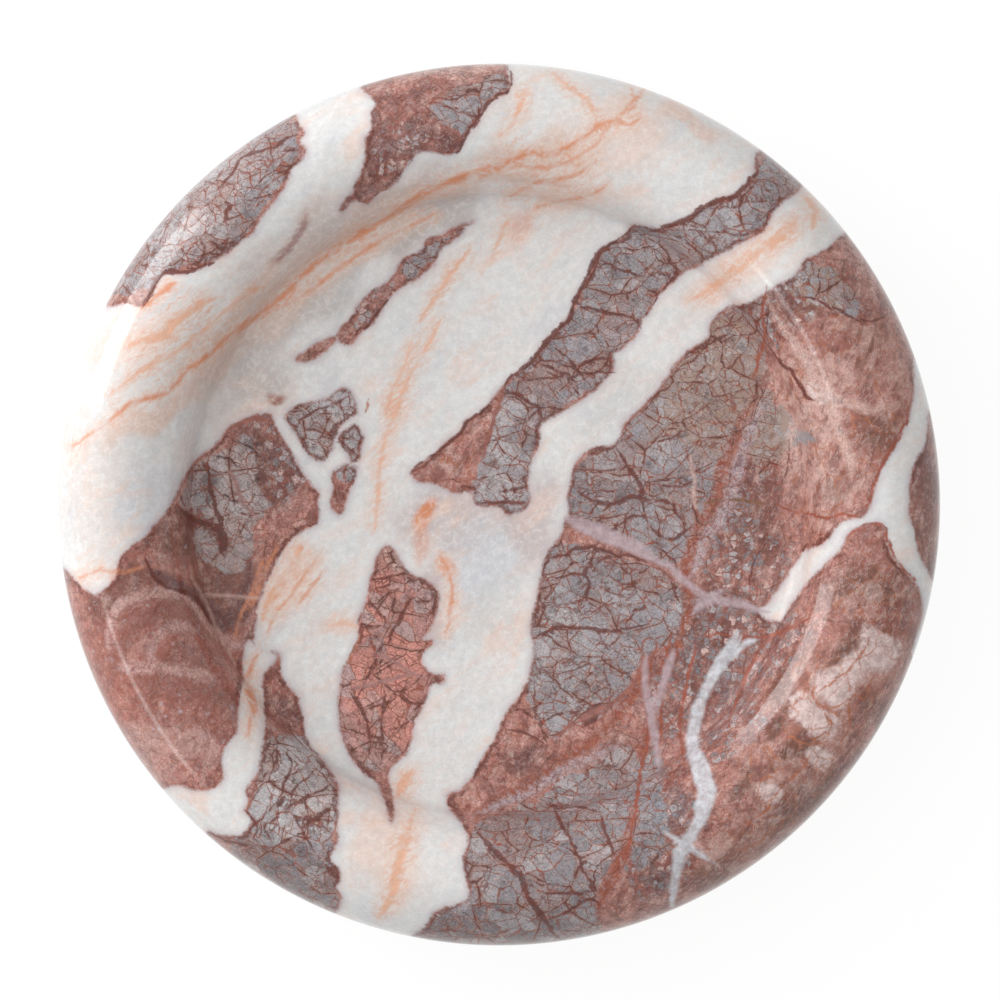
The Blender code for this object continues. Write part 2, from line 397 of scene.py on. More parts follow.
# Outlines of the grey stone, the larger and harder fragments of the breccia
FRAGMENTS = [
    # between the great mass and its right arm, with the light splinter and the lower tip
    [
        (634, 226), (627, 233), (602, 249), (584, 284), (569, 319), (543, 345), (519, 371), (502, 389),
        (497, 410), (487, 440), (481, 463), (476, 480), (474, 505), (500, 508), (520, 515), (532, 500),
        (535, 455), (545, 425), (575, 402), (605, 381), (618, 355), (640, 330), (660, 290), (697, 266),
        (742, 243), (772, 218), (798, 190), (815, 180), (800, 150), (770, 140), (757, 172), (735, 196),
        (700, 209), (672, 227),
    ],
    # the field right of the arm, out to the rust band
    [
        (560, 532), (575, 520), (600, 530), (640, 548), (672, 565), (688, 552), (698, 526), (712, 500),
        (720, 480), (735, 440), (755, 400), (765, 370), (768, 330), (768, 295), (742, 300), (712, 318),
        (700, 345), (680, 360), (650, 400), (625, 425), (610, 445), (580, 460), (568, 490),
    ],
    # the field below the lilac vein
    [
        (545, 552), (562, 545), (580, 546), (610, 552), (650, 568), (680, 590), (684, 612), (676, 640),
        (655, 652), (640, 668), (625, 692), (605, 712), (575, 725), (552, 738), (540, 725), (530, 700),
        (528, 670), (528, 630), (538, 590),
    ],
    # the lower field, darker towards the rim
    [
        (470, 838), (480, 820), (500, 812), (520, 805), (540, 800), (560, 780), (580, 772), (600, 760),
        (625, 745), (640, 760), (635, 800), (625, 840), (615, 865), (600, 890), (597, 950), (500, 970),
        (405, 950), (430, 915), (460, 903), (470, 890), (463, 868), (466, 855),
    ],
    # lower left, inside the rim
    [
        (262, 742), (285, 736), (305, 737), (318, 756), (332, 775), (338, 800), (334, 850), (340, 880),
        (338, 908), (320, 915), (280, 890), (230, 850), (250, 800), (256, 775),
    ],
    # the light pieces under the left wall
    [
        (178, 500), (185, 485), (192, 470), (205, 460), (215, 455), (228, 450), (235, 445), (240, 435),
        (255, 433), (262, 440), (268, 450), (268, 458), (262, 465), (262, 485), (265, 495), (270, 503),
        (262, 512), (255, 518), (250, 525), (252, 538), (250, 550), (246, 562), (240, 570), (225, 573),
        (212, 565), (203, 560), (198, 548), (195, 535), (193, 522), (188, 510),
    ],
    # upper left rim, upper right shoulder, and the small piece left of the middle
    [
        (95, 290), (150, 290), (185, 268), (215, 258), (245, 236), (262, 212), (290, 170), (300, 150),
        (294, 120), (240, 110), (120, 200),
    ],
    [
        (430, 105), (440, 98), (455, 90), (470, 84), (490, 77), (505, 78), (508, 90), (497, 96),
        (487, 104), (481, 114), (472, 127), (463, 137), (455, 130), (445, 128), (435, 120), (430, 112),
    ],
    [(400, 268), (412, 256), (430, 244), (452, 234), (474, 224), (448, 244), (432, 262), (410, 279)],
    [(286, 412), (318, 398), (356, 386), (362, 415), (335, 445), (322, 466), (300, 450)],
    [(340, 444), (354, 430), (366, 443), (358, 460), (356, 478), (338, 480)],
    # the red piece
    [
        (387, 540), (410, 566), (444, 586), (445, 612), (436, 660), (436, 700), (412, 752), (370, 770),
        (338, 745), (334, 690), (352, 640), (368, 575),
    ],
    [
        (790, 262), (815, 262), (835, 270), (850, 288), (862, 310), (850, 316), (830, 308), (800, 300),
        (790, 285),
    ],
    [
        (752, 396), (760, 385), (769, 392), (776, 404), (788, 412), (798, 428), (812, 437), (806, 447),
        (792, 446), (783, 460), (772, 470), (762, 480), (754, 462), (746, 440), (752, 418),
    ],
    [(640, 765), (652, 745), (664, 760), (662, 790), (668, 830), (655, 860), (636, 872), (630, 840)],
]


def shelf_order(points):
    """The points' numbers in order of height in the photograph, and those heights."""
    order = np.argsort(points[:, 1])
    return order, points[order, 1]


by_row, row_heights = shelf_order(place)


def near(run, reach):
    """Numbers of the vertices that lie in a run's box, widened by the reach."""
    low, high = run.min(axis=0) - reach, run.max(axis=0) + reach
    rows = by_row[np.searchsorted(row_heights, low[1]) : np.searchsorted(row_heights, high[1])]
    across = place[rows, 0]
    return rows[(across > low[0]) & (across < high[0])]


def offsets(run, here):
    """The way from each vertex to the run's nearest point, and that point's share of the run."""
    step = np.diff(run, axis=0)
    to_start = place[here][:, None] - run[:-1]
    share = np.clip((to_start * step).sum(2) / (step**2).sum(1), 0, 1)
    way = share[..., None] * step - to_start
    best = (way**2).sum(2).argmin(1)
    pick = (np.arange(len(here)), best)
    return way[pick], (best + share[pick]) / len(step)


# An outline is followed in short stretches, and only as far off as a border's cracks and stains reach
AREA_REACH_PX = 16
AREA_STRETCH = 12


def area_depth(outlines):
    """How far inside the outlines each vertex lies, in mm; below zero outside."""
    deepest = np.full(len(place), -AREA_REACH_PX * mm_per_px)
    for outline in outlines:
        run = smooth_curve(outline, closed=True)
        run = np.vstack([run, run[0]])
        gap = np.full(len(place), float(AREA_REACH_PX))
        for first in range(0, len(run) - 1, AREA_STRETCH):
            stretch = run[first : first + AREA_STRETCH + 1]
            here = near(stretch, AREA_REACH_PX)
            if len(here):
                gap[here] = np.minimum(gap[here], np.hypot(*offsets(stretch, here)[0].T))
        inside = np.zeros(len(place), bool)
        for (x0, y0), (x1, y1) in zip(run[:-1], run[1:]):
            low, high = np.searchsorted(row_heights, sorted((y0, y1)))
            rows = by_row[low:high]
            inside[rows] ^= place[rows, 0] < x0 + (place[rows, 1] - y0) * (x1 - x0) / (y1 - y0)
        deepest = np.maximum(deepest, np.where(inside, gap, -gap) * mm_per_px)
    return deepest


# A stroke thins out to a quarter of its width at both ends
END_THINNING = 0.75


def drawn(strokes, reach):
    """For each vertex its nearest stroke: the way to it and its distance in mm, half width, colour."""
    count = len(place)
    clear = np.full(count, float(reach))
    way = np.zeros((count, 3))
    way[:, 0] = way[:, 2] = reach
    half = np.zeros(count)
    colour = np.zeros((count, 3))
    for name, width, runs in strokes:
        for points in runs:
            run = smooth_curve(points)
            here = near(run, reach)
            if not len(here):
                continue
            to_run, share = offsets(run, here)
            distance = np.hypot(*to_run.T)
            thickness = width / 2 * (1 - END_THINNING * (2 * share - 1) ** 4)
            closer = distance - thickness < clear[here]
            chosen = here[closer]
            clear[chosen] = (distance - thickness)[closer]
            way[chosen, :2] = to_run[closer] * (1, -1)
            way[chosen, 2] = distance[closer]
            half[chosen] = thickness[closer]
            colour[chosen] = COLOURS[name]
    return way * mm_per_px, half * mm_per_px, colour


# The washes' ovals are bent a little, so that none looks like one
BEND_PX = 7.0
BEND_LENGTHS_PX = (83, 61)
WASH_EDGE = 0.6
bends = [np.sin(2 * math.pi * place[:, 1 - k] / BEND_LENGTHS_PX[k] + k) for k in (0, 1)]
bent = place + BEND_PX * np.column_stack(bends)


def covered(ovals):
    """How far each vertex is covered by soft ovals, given by middle, two radii and turn in degrees."""
    cover = np.zeros(len(place))
    for x, y, long, short, turn in ovals:
        angle = math.radians(turn)
        out = bent - (x, y)
        lengthwise = (out[:, 0] * math.cos(angle) - out[:, 1] * math.sin(angle)) / long
        crosswise = (out[:, 0] * math.sin(angle) + out[:, 1] * math.cos(angle)) / short
        inner = np.clip((1 - np.hypot(lengthwise, crosswise)) / WASH_EDGE, 0, 1)
        cover = np.maximum(cover, inner**2 * (3 - 2 * inner))
    return cover


def washed(base, washes):
    """A colour for each vertex: soft oval washes of colour laid one after another over a base."""
    field = np.tile(COLOURS[base], (len(place), 1))
    for name, strength, ovals in washes:
        field += strength * covered(ovals)[:, None] * (COLOURS[name] - field)
    return field


# Dark seams, by colour and width in pixels: iron that settled in the cracks
SEAMS = [
    ("maroon", 7, [
        # upper left rim
        [(143, 305), (152, 291), (158, 279), (168, 271), (181, 273), (200, 268), (214, 261)],
        # the great mass's right border
        [(757, 165), (757, 172), (750, 180), (743, 188), (735, 195), (722, 200), (708, 204), (700, 210),
         (690, 216), (680, 222), (668, 227), (655, 230), (648, 232)],
        [(634, 226), (627, 233), (615, 241), (602, 249), (596, 258), (590, 270), (584, 284), (577, 297),
         (572, 308), (569, 319), (561, 326), (552, 335), (543, 345), (537, 354), (529, 363), (519, 371),
         (509, 379), (502, 389)],
        # left of the middle
        [(177, 505), (187, 515), (197, 521), (207, 524), (216, 531), (222, 540)],
        [(206, 463), (209, 476), (211, 490), (214, 502), (218, 514), (221, 526), (224, 538), (222, 547)],
        [(143, 555), (148, 565), (155, 578), (170, 588), (185, 592), (197, 600), (205, 612), (215, 628)],
        [(583, 727), (597, 715)],
    ]),
    ("maroon", 5.5, [
        [(508, 66), (511, 80), (508, 90), (497, 96), (487, 103), (482, 113), (475, 123), (466, 133),
         (462, 142), (456, 152), (448, 153)],
        [(298, 133), (285, 140), (272, 147), (255, 153), (240, 160), (234, 170), (225, 182), (217, 190)],
        [(224, 201), (232, 206), (226, 215), (226, 222)],
        [(212, 241), (220, 248), (227, 252)],
        [(200, 240), (204, 247), (200, 262), (190, 265)],
        [(578, 305), (590, 308), (605, 313), (620, 315), (635, 320), (642, 328)],
        [(503, 392), (515, 393), (528, 402), (538, 407), (541, 420)],
        [(575, 370), (590, 360), (612, 357)],
        [(496, 396), (487, 406), (477, 415), (467, 423), (461, 433), (451, 440), (439, 450), (428, 459),
         (417, 466), (411, 473)],
        [(527, 487), (514, 490), (500, 492)],
        [(528, 502), (505, 503), (480, 503)],
        [(572, 487), (582, 495), (592, 500), (605, 503), (618, 503), (628, 498), (640, 497), (655, 500),
         (668, 502)],
        [(617, 447), (622, 457), (628, 468), (635, 478), (642, 488), (643, 500), (645, 515), (650, 525)],
        [(570, 517), (585, 523), (600, 528), (612, 530), (625, 520), (635, 515), (648, 517)],
        [(650, 503), (662, 500), (673, 505), (678, 515), (687, 525)],
        [(650, 525), (658, 535), (670, 540), (682, 535), (690, 527)],
        [(533, 640), (545, 632), (560, 628), (580, 627), (600, 630), (620, 630), (635, 627), (650, 622)],
        [(543, 575), (545, 565), (550, 558), (565, 555), (575, 548), (590, 547), (605, 550), (618, 556),
         (630, 556), (640, 560), (650, 563)],
        [(597, 550), (590, 562), (585, 573), (590, 585), (585, 597), (580, 608)],
        [(770, 350), (780, 362), (790, 370), (797, 380), (803, 390), (808, 398), (815, 400)],
        [(415, 589), (404, 612), (394, 630), (386, 646)],
        [(350, 690), (357, 702), (365, 714), (369, 728), (371, 742), (369, 756)],
        [(555, 808), (560, 820), (568, 835), (575, 848), (580, 862), (587, 877), (595, 888), (600, 893)],
        [(600, 812), (603, 825), (608, 838), (613, 850), (616, 858)],
    ]),
    ("maroon", 9, [
        [(475, 828), (483, 838), (492, 848), (502, 858), (515, 870), (523, 880), (527, 895), (537, 908),
         (545, 920), (552, 932), (560, 940)],
        [(327, 866), (338, 878)],
        [(282, 797), (278, 808)],
    ]),
    ("maroon", 15, [[(217, 524), (220, 532), (223, 540), (222, 552)]]),
    ("brick", 6, [
        [(503, 392), (497, 410), (487, 440), (482, 462)],
        [(225, 432), (240, 424), (258, 418), (270, 420)],
        [(548, 745), (560, 732), (572, 725), (585, 717), (597, 712), (610, 705), (620, 697), (632, 685),
         (640, 670), (645, 655)],
    ]),
    ("maroon", 4, [
        [(283, 152), (300, 149)],
        [(227, 238), (225, 250)],
        [(565, 375), (580, 398)],
        [(575, 368), (590, 385)],
        [(545, 575), (560, 578), (575, 574), (585, 573), (595, 563), (605, 560), (618, 556)],
        [(671, 580), (674, 592), (680, 602)],
        [(625, 625), (633, 613), (645, 606), (655, 602)],
        [(540, 632), (550, 637), (560, 645), (570, 650)],
        [(540, 722), (552, 717), (565, 713), (575, 712), (590, 708), (605, 703), (618, 700)],
        [(510, 710), (520, 710), (530, 715), (537, 722), (543, 733), (548, 742)],
        [(507, 730), (520, 732), (535, 738), (545, 745)],
        [(540, 800), (553, 806), (570, 807), (585, 809), (600, 812)],
        [(540, 892), (568, 893), (597, 892)],
        [(545, 920), (560, 915), (575, 907), (590, 900), (600, 905)],
        [(285, 752), (290, 760), (290, 772), (284, 783), (282, 795)],
        [(285, 795), (292, 792), (300, 783), (310, 775), (318, 767)],
        [(283, 812), (295, 803), (310, 795), (325, 789), (332, 783)],
        [(290, 812), (297, 822), (302, 832), (308, 842), (315, 852)],
        [(292, 815), (303, 819), (320, 820), (333, 821)],
        [(305, 795), (307, 808), (308, 820)],
        [(245, 810), (252, 818), (258, 828), (252, 840)],
        [(270, 840), (265, 828), (272, 820), (283, 812)],
        [(205, 832), (225, 840), (240, 845), (255, 848)],
        [(790, 297), (800, 297), (812, 299), (822, 303), (832, 308), (845, 313), (858, 320), (870, 322),
         (882, 318), (890, 312)],
        [(755, 375), (757, 390), (755, 402), (745, 402)],
        [(371, 580), (386, 578), (404, 573), (420, 580)],
        [(374, 589), (386, 586), (397, 582)],
        [(415, 600), (422, 602), (431, 600), (434, 592)],
        [(368, 601), (381, 614), (386, 627)],
        [(376, 612), (384, 602), (392, 590)],
        [(360, 625), (371, 627), (382, 626)],
        [(356, 700), (364, 682), (376, 658), (384, 640)],
        [(384, 689), (383, 706), (380, 725), (384, 745)],
        [(394, 691), (402, 697), (410, 702), (422, 704)],
        [(363, 709), (378, 706), (394, 699), (407, 684)],
        [(391, 730), (402, 726), (412, 719)],
        [(370, 735), (380, 742), (388, 752)],
        [(297, 424), (306, 416), (318, 409), (332, 404), (348, 397)],
        [(302, 432), (316, 430), (326, 434), (334, 436)],
        [(597, 266), (607, 264), (620, 270), (630, 272), (640, 275), (650, 276)],
        [(650, 275), (660, 273), (670, 276), (680, 272)],
        [(680, 272), (673, 280), (665, 288), (657, 297), (652, 305)],
        [(530, 368), (545, 366), (560, 372), (575, 376), (600, 372), (615, 373)],
        [(520, 380), (550, 378), (575, 376)],
        [(650, 483), (662, 485), (675, 487), (685, 485), (692, 482)],
        [(655, 545), (668, 555), (675, 563), (680, 572)],
        [(345, 345), (356, 334), (368, 324), (380, 310), (392, 296)],
    ]),
    ("maroon", 2.6, [
        [(185, 205), (192, 208), (201, 207), (212, 203)],
        [(205, 180), (217, 183)],
        [(234, 193), (248, 199), (262, 198), (272, 194), (282, 190)],
        [(150, 255), (163, 252), (175, 250)],
        [(425, 102), (440, 103), (455, 109), (470, 112), (478, 113)],
        [(430, 482), (445, 480), (455, 480), (463, 485), (472, 488), (478, 487)],
        [(700, 208), (713, 205), (725, 203), (735, 198), (745, 198), (755, 194), (765, 192), (778, 190)],
        [(713, 210), (722, 207), (733, 208), (745, 203), (755, 201), (765, 200), (782, 200)],
        [(693, 225), (698, 232), (705, 240), (710, 245)],
        [(680, 235), (688, 243), (697, 250), (705, 258)],
        [(680, 230), (695, 230), (710, 231), (725, 232), (735, 236), (745, 234), (755, 231), (765, 231)],
        [(660, 250), (668, 262), (675, 268), (682, 273)],
        [(572, 470), (600, 471), (625, 469)],
        [(570, 487), (600, 491), (628, 490)],
        [(590, 515), (595, 503)],
        [(600, 525), (605, 515), (610, 508)],
        [(650, 445), (660, 440), (672, 438), (680, 433), (690, 428), (697, 425)],
        [(682, 450), (700, 442)],
        [(563, 592), (575, 590), (585, 585), (595, 575), (610, 565)],
        [(600, 588), (612, 588), (622, 584), (635, 582), (650, 580)],
        [(600, 590), (610, 592), (620, 595), (630, 593), (640, 585)],
        [(575, 617), (590, 612), (605, 607), (620, 602), (630, 597), (640, 587)],
        [(548, 575), (552, 590), (545, 600), (543, 612)],
        [(543, 610), (560, 605), (575, 602), (590, 603), (600, 610), (608, 615)],
        [(600, 632), (605, 645), (610, 650)],
        [(532, 660), (533, 680), (535, 700), (537, 715), (540, 725), (545, 735), (548, 740)],
        [(535, 664), (545, 672), (555, 682), (563, 690), (572, 698), (580, 705), (587, 712)],
        [(530, 675), (545, 673), (560, 673), (572, 670), (585, 665), (597, 661), (612, 659), (630, 657)],
        [(602, 662), (605, 675), (610, 685), (612, 698)],
        [(609, 683), (598, 692), (588, 697), (578, 705), (568, 712)],
        [(507, 815), (508, 835), (507, 850), (509, 860)],
        [(487, 848), (491, 860), (489, 875), (485, 888), (478, 900), (475, 915)],
        [(422, 932), (450, 930), (480, 935), (510, 936), (530, 932)],
        [(261, 746), (270, 750), (277, 750), (280, 757), (277, 770), (266, 775), (262, 785), (257, 795),
         (250, 802)],
        [(300, 832), (310, 822)],
        [(770, 292), (769, 305), (767, 320), (767, 335), (768, 350)],
        [(715, 318), (725, 310), (737, 306), (743, 310), (742, 318), (730, 325), (718, 328)],
        [(743, 308), (752, 318), (758, 330), (765, 340)],
        [(788, 440), (787, 470), (780, 490)],
        [(752, 600), (750, 585), (752, 570), (757, 555), (765, 540), (768, 525)],
        [(287, 418), (293, 425), (300, 433)],
        [(340, 402), (343, 412), (345, 421)],
        [(324, 410), (327, 420), (328, 428)],
    ]),
    ("ginger", 4, [[(348, 664), (354, 648), (361, 632)], [(365, 412), (369, 400)]]),
    ("mauve", 6, [
        [(228, 468), (236, 482), (241, 498), (247, 508), (258, 518)],
        [(343, 690), (358, 687), (375, 683), (392, 679), (408, 676), (428, 679)],
        [(374, 653), (389, 658), (404, 668), (420, 677)],
    ]),
    ("black", 3, [
        [(214, 454), (223, 458), (231, 460), (236, 466), (244, 469)],
        [(232, 438), (240, 444), (250, 448), (258, 456), (266, 457)],
        [(218, 496), (224, 496), (232, 501), (241, 499)],
        [(252, 493), (257, 495), (265, 494)],
    ]),
    # ginger lines between the cloudy lumps on the lower right, and streaks in the red stone
    ("ginger", 3, [
        [(869, 636), (865, 650), (854, 663), (846, 673), (831, 683), (815, 696)],
        [(846, 673), (850, 688), (865, 700), (870, 684), (882, 668)],
        [(815, 677), (813, 692), (819, 706), (831, 708), (846, 702), (856, 690)],
        [(808, 742), (820, 737), (831, 727), (825, 711)],
        [(785, 715), (783, 727), (792, 738), (808, 744), (825, 742), (831, 727)],
        [(758, 792), (761, 781), (773, 777), (781, 785), (775, 794), (763, 796), (758, 792)],
        [(781, 785), (795, 776), (806, 764), (812, 750)],
        [(740, 835), (748, 822), (760, 815), (770, 806), (775, 794)],
        [(735, 850), (752, 846), (764, 838), (772, 826)],
        [(846, 702), (850, 718), (846, 734), (836, 748)],
    ]),
    ("rust", 5, [
        [(658, 642), (650, 668), (646, 700), (648, 735), (642, 765), (637, 800), (630, 840), (623, 869)],
        [(673, 623), (668, 650), (667, 677), (662, 705), (661, 727), (658, 761)],
        [(696, 638), (720, 634), (745, 638), (769, 636), (792, 628), (815, 615)],
        [(805, 612), (785, 628), (765, 642), (750, 668), (740, 690), (727, 727)],
        [(700, 640), (690, 668), (684, 700), (680, 735), (684, 765)],
        [(768, 285), (762, 310), (764, 335), (758, 360), (752, 385)],
    ]),
    ("olive", 4, [[(700, 502), (735, 500), (775, 505)]]),
    ("rust", 4, [
        [(775, 503), (790, 510), (803, 513), (815, 516), (828, 518), (843, 514), (857, 515), (868, 510)],
        [(905, 400), (908, 415), (902, 430), (893, 447), (883, 462), (878, 475), (872, 490), (868, 505),
         (858, 514)],
        [(846, 540), (858, 528), (870, 524), (884, 526), (888, 542), (898, 561), (912, 578), (920, 592)],
    ]),
]

# Orange stains inside the calcite, along its old growth lines
STAINS = [
    ("orange", 6, [
        [(72, 446), (107, 423), (130, 404), (168, 392), (193, 366), (205, 358), (222, 342), (240, 328),
         (258, 315), (275, 303), (290, 290), (300, 278), (315, 265), (330, 255), (345, 243), (358, 235),
         (375, 225), (395, 213), (410, 203), (425, 193), (445, 185), (462, 177), (480, 170), (500, 165),
         (515, 160), (530, 152), (545, 155), (560, 152), (572, 145), (582, 138), (592, 130), (603, 123),
         (615, 122), (630, 124), (640, 118)],
        [(141, 308), (155, 298), (168, 288), (176, 283)],
        [(257, 655), (250, 670), (248, 685), (252, 700), (254, 712), (250, 722), (248, 735)],
    ]),
    ("orange", 3, [
        [(260, 318), (285, 306), (300, 297), (330, 275), (362, 252), (398, 232), (436, 214)],
        [(480, 178), (500, 170), (520, 166), (540, 168), (560, 165), (585, 152), (606, 136)],
        [(510, 196), (536, 183), (555, 180), (575, 175), (596, 160)],
        [(600, 134), (622, 115), (630, 103), (640, 95), (648, 84)],
        [(632, 88), (634, 98), (636, 105), (625, 112), (612, 122)],
        [(535, 208), (555, 203), (570, 200), (590, 195), (600, 190), (606, 185)],
        [(80, 578), (100, 570), (115, 572), (132, 570), (148, 565)],
        [(262, 560), (256, 580), (246, 604), (238, 622), (234, 645)],
        [(278, 545), (268, 565), (258, 590), (250, 612)],
        [(303, 545), (294, 562), (285, 580), (276, 598)],
        [(318, 556), (304, 576), (290, 596), (275, 616), (268, 632)],
        [(322, 572), (312, 586), (300, 602)],
        [(440, 556), (448, 572), (452, 590), (450, 610), (446, 632)],
    ]),
    ("pale orange", 8, [
        [(130, 345), (150, 340), (168, 333), (172, 325), (190, 312), (205, 300), (215, 298)],
        [(690, 300), (712, 288), (730, 275), (760, 250), (790, 228), (800, 215)],
        [(805, 195), (815, 212), (812, 228)],
        [(262, 620), (275, 590), (290, 570)],
        [(300, 545), (295, 575)],
        [(412, 770), (402, 785), (398, 795)],
        [(415, 810), (405, 840), (397, 870), (390, 900), (380, 915)],
    ]),
    ("pale orange", 4, [
        [(440, 320), (430, 342), (411, 372), (398, 407), (385, 440), (380, 470), (378, 500), (374, 528)],
        [(412, 340), (404, 368), (392, 392), (386, 418)],
        [(508, 220), (500, 238), (492, 256)],
        [(470, 250), (452, 272), (436, 296), (420, 320)],
        [(328, 626), (342, 624), (358, 625)],
        [(525, 90), (520, 106), (512, 124), (498, 138)],
        [(552, 72), (571, 89), (586, 100), (596, 116)],
        [(110, 395), (140, 372), (175, 352), (205, 330), (236, 302), (262, 285)],
    ]),
]

# Wide soft bands of rust and lilac clay that cross the broken stone
BANDS = [
    ("rust", 12, [
        [(755, 400), (748, 410), (740, 425), (735, 440), (728, 455), (722, 468), (718, 485), (714, 500),
         (705, 515), (698, 530), (692, 545), (688, 560), (685, 575), (690, 595), (687, 615), (683, 630),
         (677, 650), (665, 660), (658, 672)],
        [(640, 650), (645, 660), (640, 680), (635, 695), (625, 705), (615, 722), (600, 735), (585, 748),
         (570, 757), (555, 765), (543, 775), (530, 785), (515, 792), (500, 800), (485, 808), (475, 820)],
        [(650, 700), (655, 715), (648, 730), (642, 745), (640, 760)],
        [(625, 800), (635, 815), (628, 835), (625, 850), (618, 862), (612, 878), (605, 890), (600, 905),
         (598, 925)],
    ]),
    ("lilac", 13, [
        [(765, 400), (750, 430), (742, 455), (736, 475), (731, 495), (723, 515), (712, 532), (704, 548),
         (698, 562), (690, 580)],
        [(474, 816), (500, 803), (525, 793), (548, 779), (570, 766), (592, 757), (618, 747)],
    ]),
    ("mauve", 18, [[(565, 518), (590, 529), (620, 541), (650, 560)]]),
    ("plum", 9, [[(780, 285), (786, 300), (793, 320)]]),
    ("plum", 14, [
        [(255, 430), (261, 446), (263, 464), (263, 480), (268, 493), (276, 506)],
        [(176, 508), (188, 518), (201, 524), (214, 530), (222, 542), (224, 556)],
    ]),
    # the swirl on the lower left, and the paler streaks of the upper right
    ("plum", 17, [
        [(148, 570), (170, 582), (190, 594), (208, 608), (224, 624), (238, 614), (246, 590), (250, 560)],
    ]),
    ("brick", 18, [
        [(137, 676), (160, 682), (188, 688), (214, 694), (240, 704)],
        [(122, 660), (128, 636), (142, 618), (160, 610), (178, 610), (196, 622), (212, 642)],
    ]),
    ("brown", 13, [
        [(832, 657), (845, 649), (857, 640)],
        [(768, 740), (777, 729), (785, 716)],
        [(785, 753), (797, 748), (810, 744)],
        [(752, 770), (743, 786), (730, 800)],
        [(836, 770), (822, 790), (806, 806)],
    ]),
    ("dusty pink", 11, [
        [(108, 648), (109, 626), (118, 608), (137, 597), (160, 592), (183, 595), (197, 608), (210, 628),
         (226, 641), (243, 646), (253, 625), (260, 592), (268, 566)],
        [(132, 672), (160, 668), (190, 672), (218, 680)],
        [(148, 665), (152, 646), (164, 630), (187, 626), (204, 634)],
        [(118, 668), (140, 668), (158, 664)],
        [(196, 728), (208, 740), (214, 756), (206, 770)],
    ]),
    ("mauve", 9, [[(415, 579), (402, 604), (383, 630), (358, 650)]]),
    ("pale pink", 10, [
        [(768, 300), (778, 320), (790, 338), (802, 356), (814, 374), (830, 392), (850, 404), (876, 410),
         (900, 404)],
        [(829, 391), (836, 420), (846, 450), (852, 480)],
        [(829, 391), (806, 410), (790, 440), (784, 480)],
    ]),
]

# Pale veins that healed the last cracks, so they cross everything else
VEINS = [
    ("lilac", 15, [
        [(566, 518), (577, 523), (588, 527), (600, 532), (615, 539), (630, 545), (645, 553), (656, 561)],
    ]),
    ("pale pink", 4, [[(584, 526), (600, 531), (616, 538), (632, 545), (646, 553)]]),
    ("lilac", 9, [
        [(770, 612), (757, 610), (745, 605), (730, 602), (715, 600), (700, 593), (690, 585), (680, 577),
         (672, 568), (660, 562), (645, 553)],
        [(646, 655), (645, 676), (648, 700), (652, 722), (656, 745), (659, 768)],
        [(674, 650), (668, 668), (662, 690), (656, 712)],
        [(722, 590), (712, 598), (702, 604), (694, 612)],
    ]),
    ("blue white", 12, [[(738, 632), (730, 648), (720, 664), (712, 678), (703, 700)]]),
    ("blue white", 13, [
        [(716, 668), (706, 688), (699, 706), (695, 722), (692, 738), (693, 752), (697, 766), (702, 780)],
        [(703, 790), (702, 805), (698, 822), (690, 837), (682, 849), (678, 864), (675, 880), (672, 905)],
    ]),
    ("blue white", 20, [[(692, 742), (697, 760), (703, 776), (707, 790), (703, 808), (698, 826)]]),
    ("blue white", 6, [
        [(756, 640), (746, 643), (738, 650), (730, 660)],
        [(664, 831), (677, 840), (686, 846), (698, 853), (714, 863)],
    ]),
    ("pale pink", 3, [
        [(690, 455), (692, 470), (695, 480), (693, 495), (696, 508)],
        [(668, 835), (680, 842)],
        [(692, 838), (706, 852), (720, 868)],
        [(190, 575), (205, 600), (215, 625), (225, 645), (235, 665)],
        [(205, 594), (260, 598)],
    ]),
]
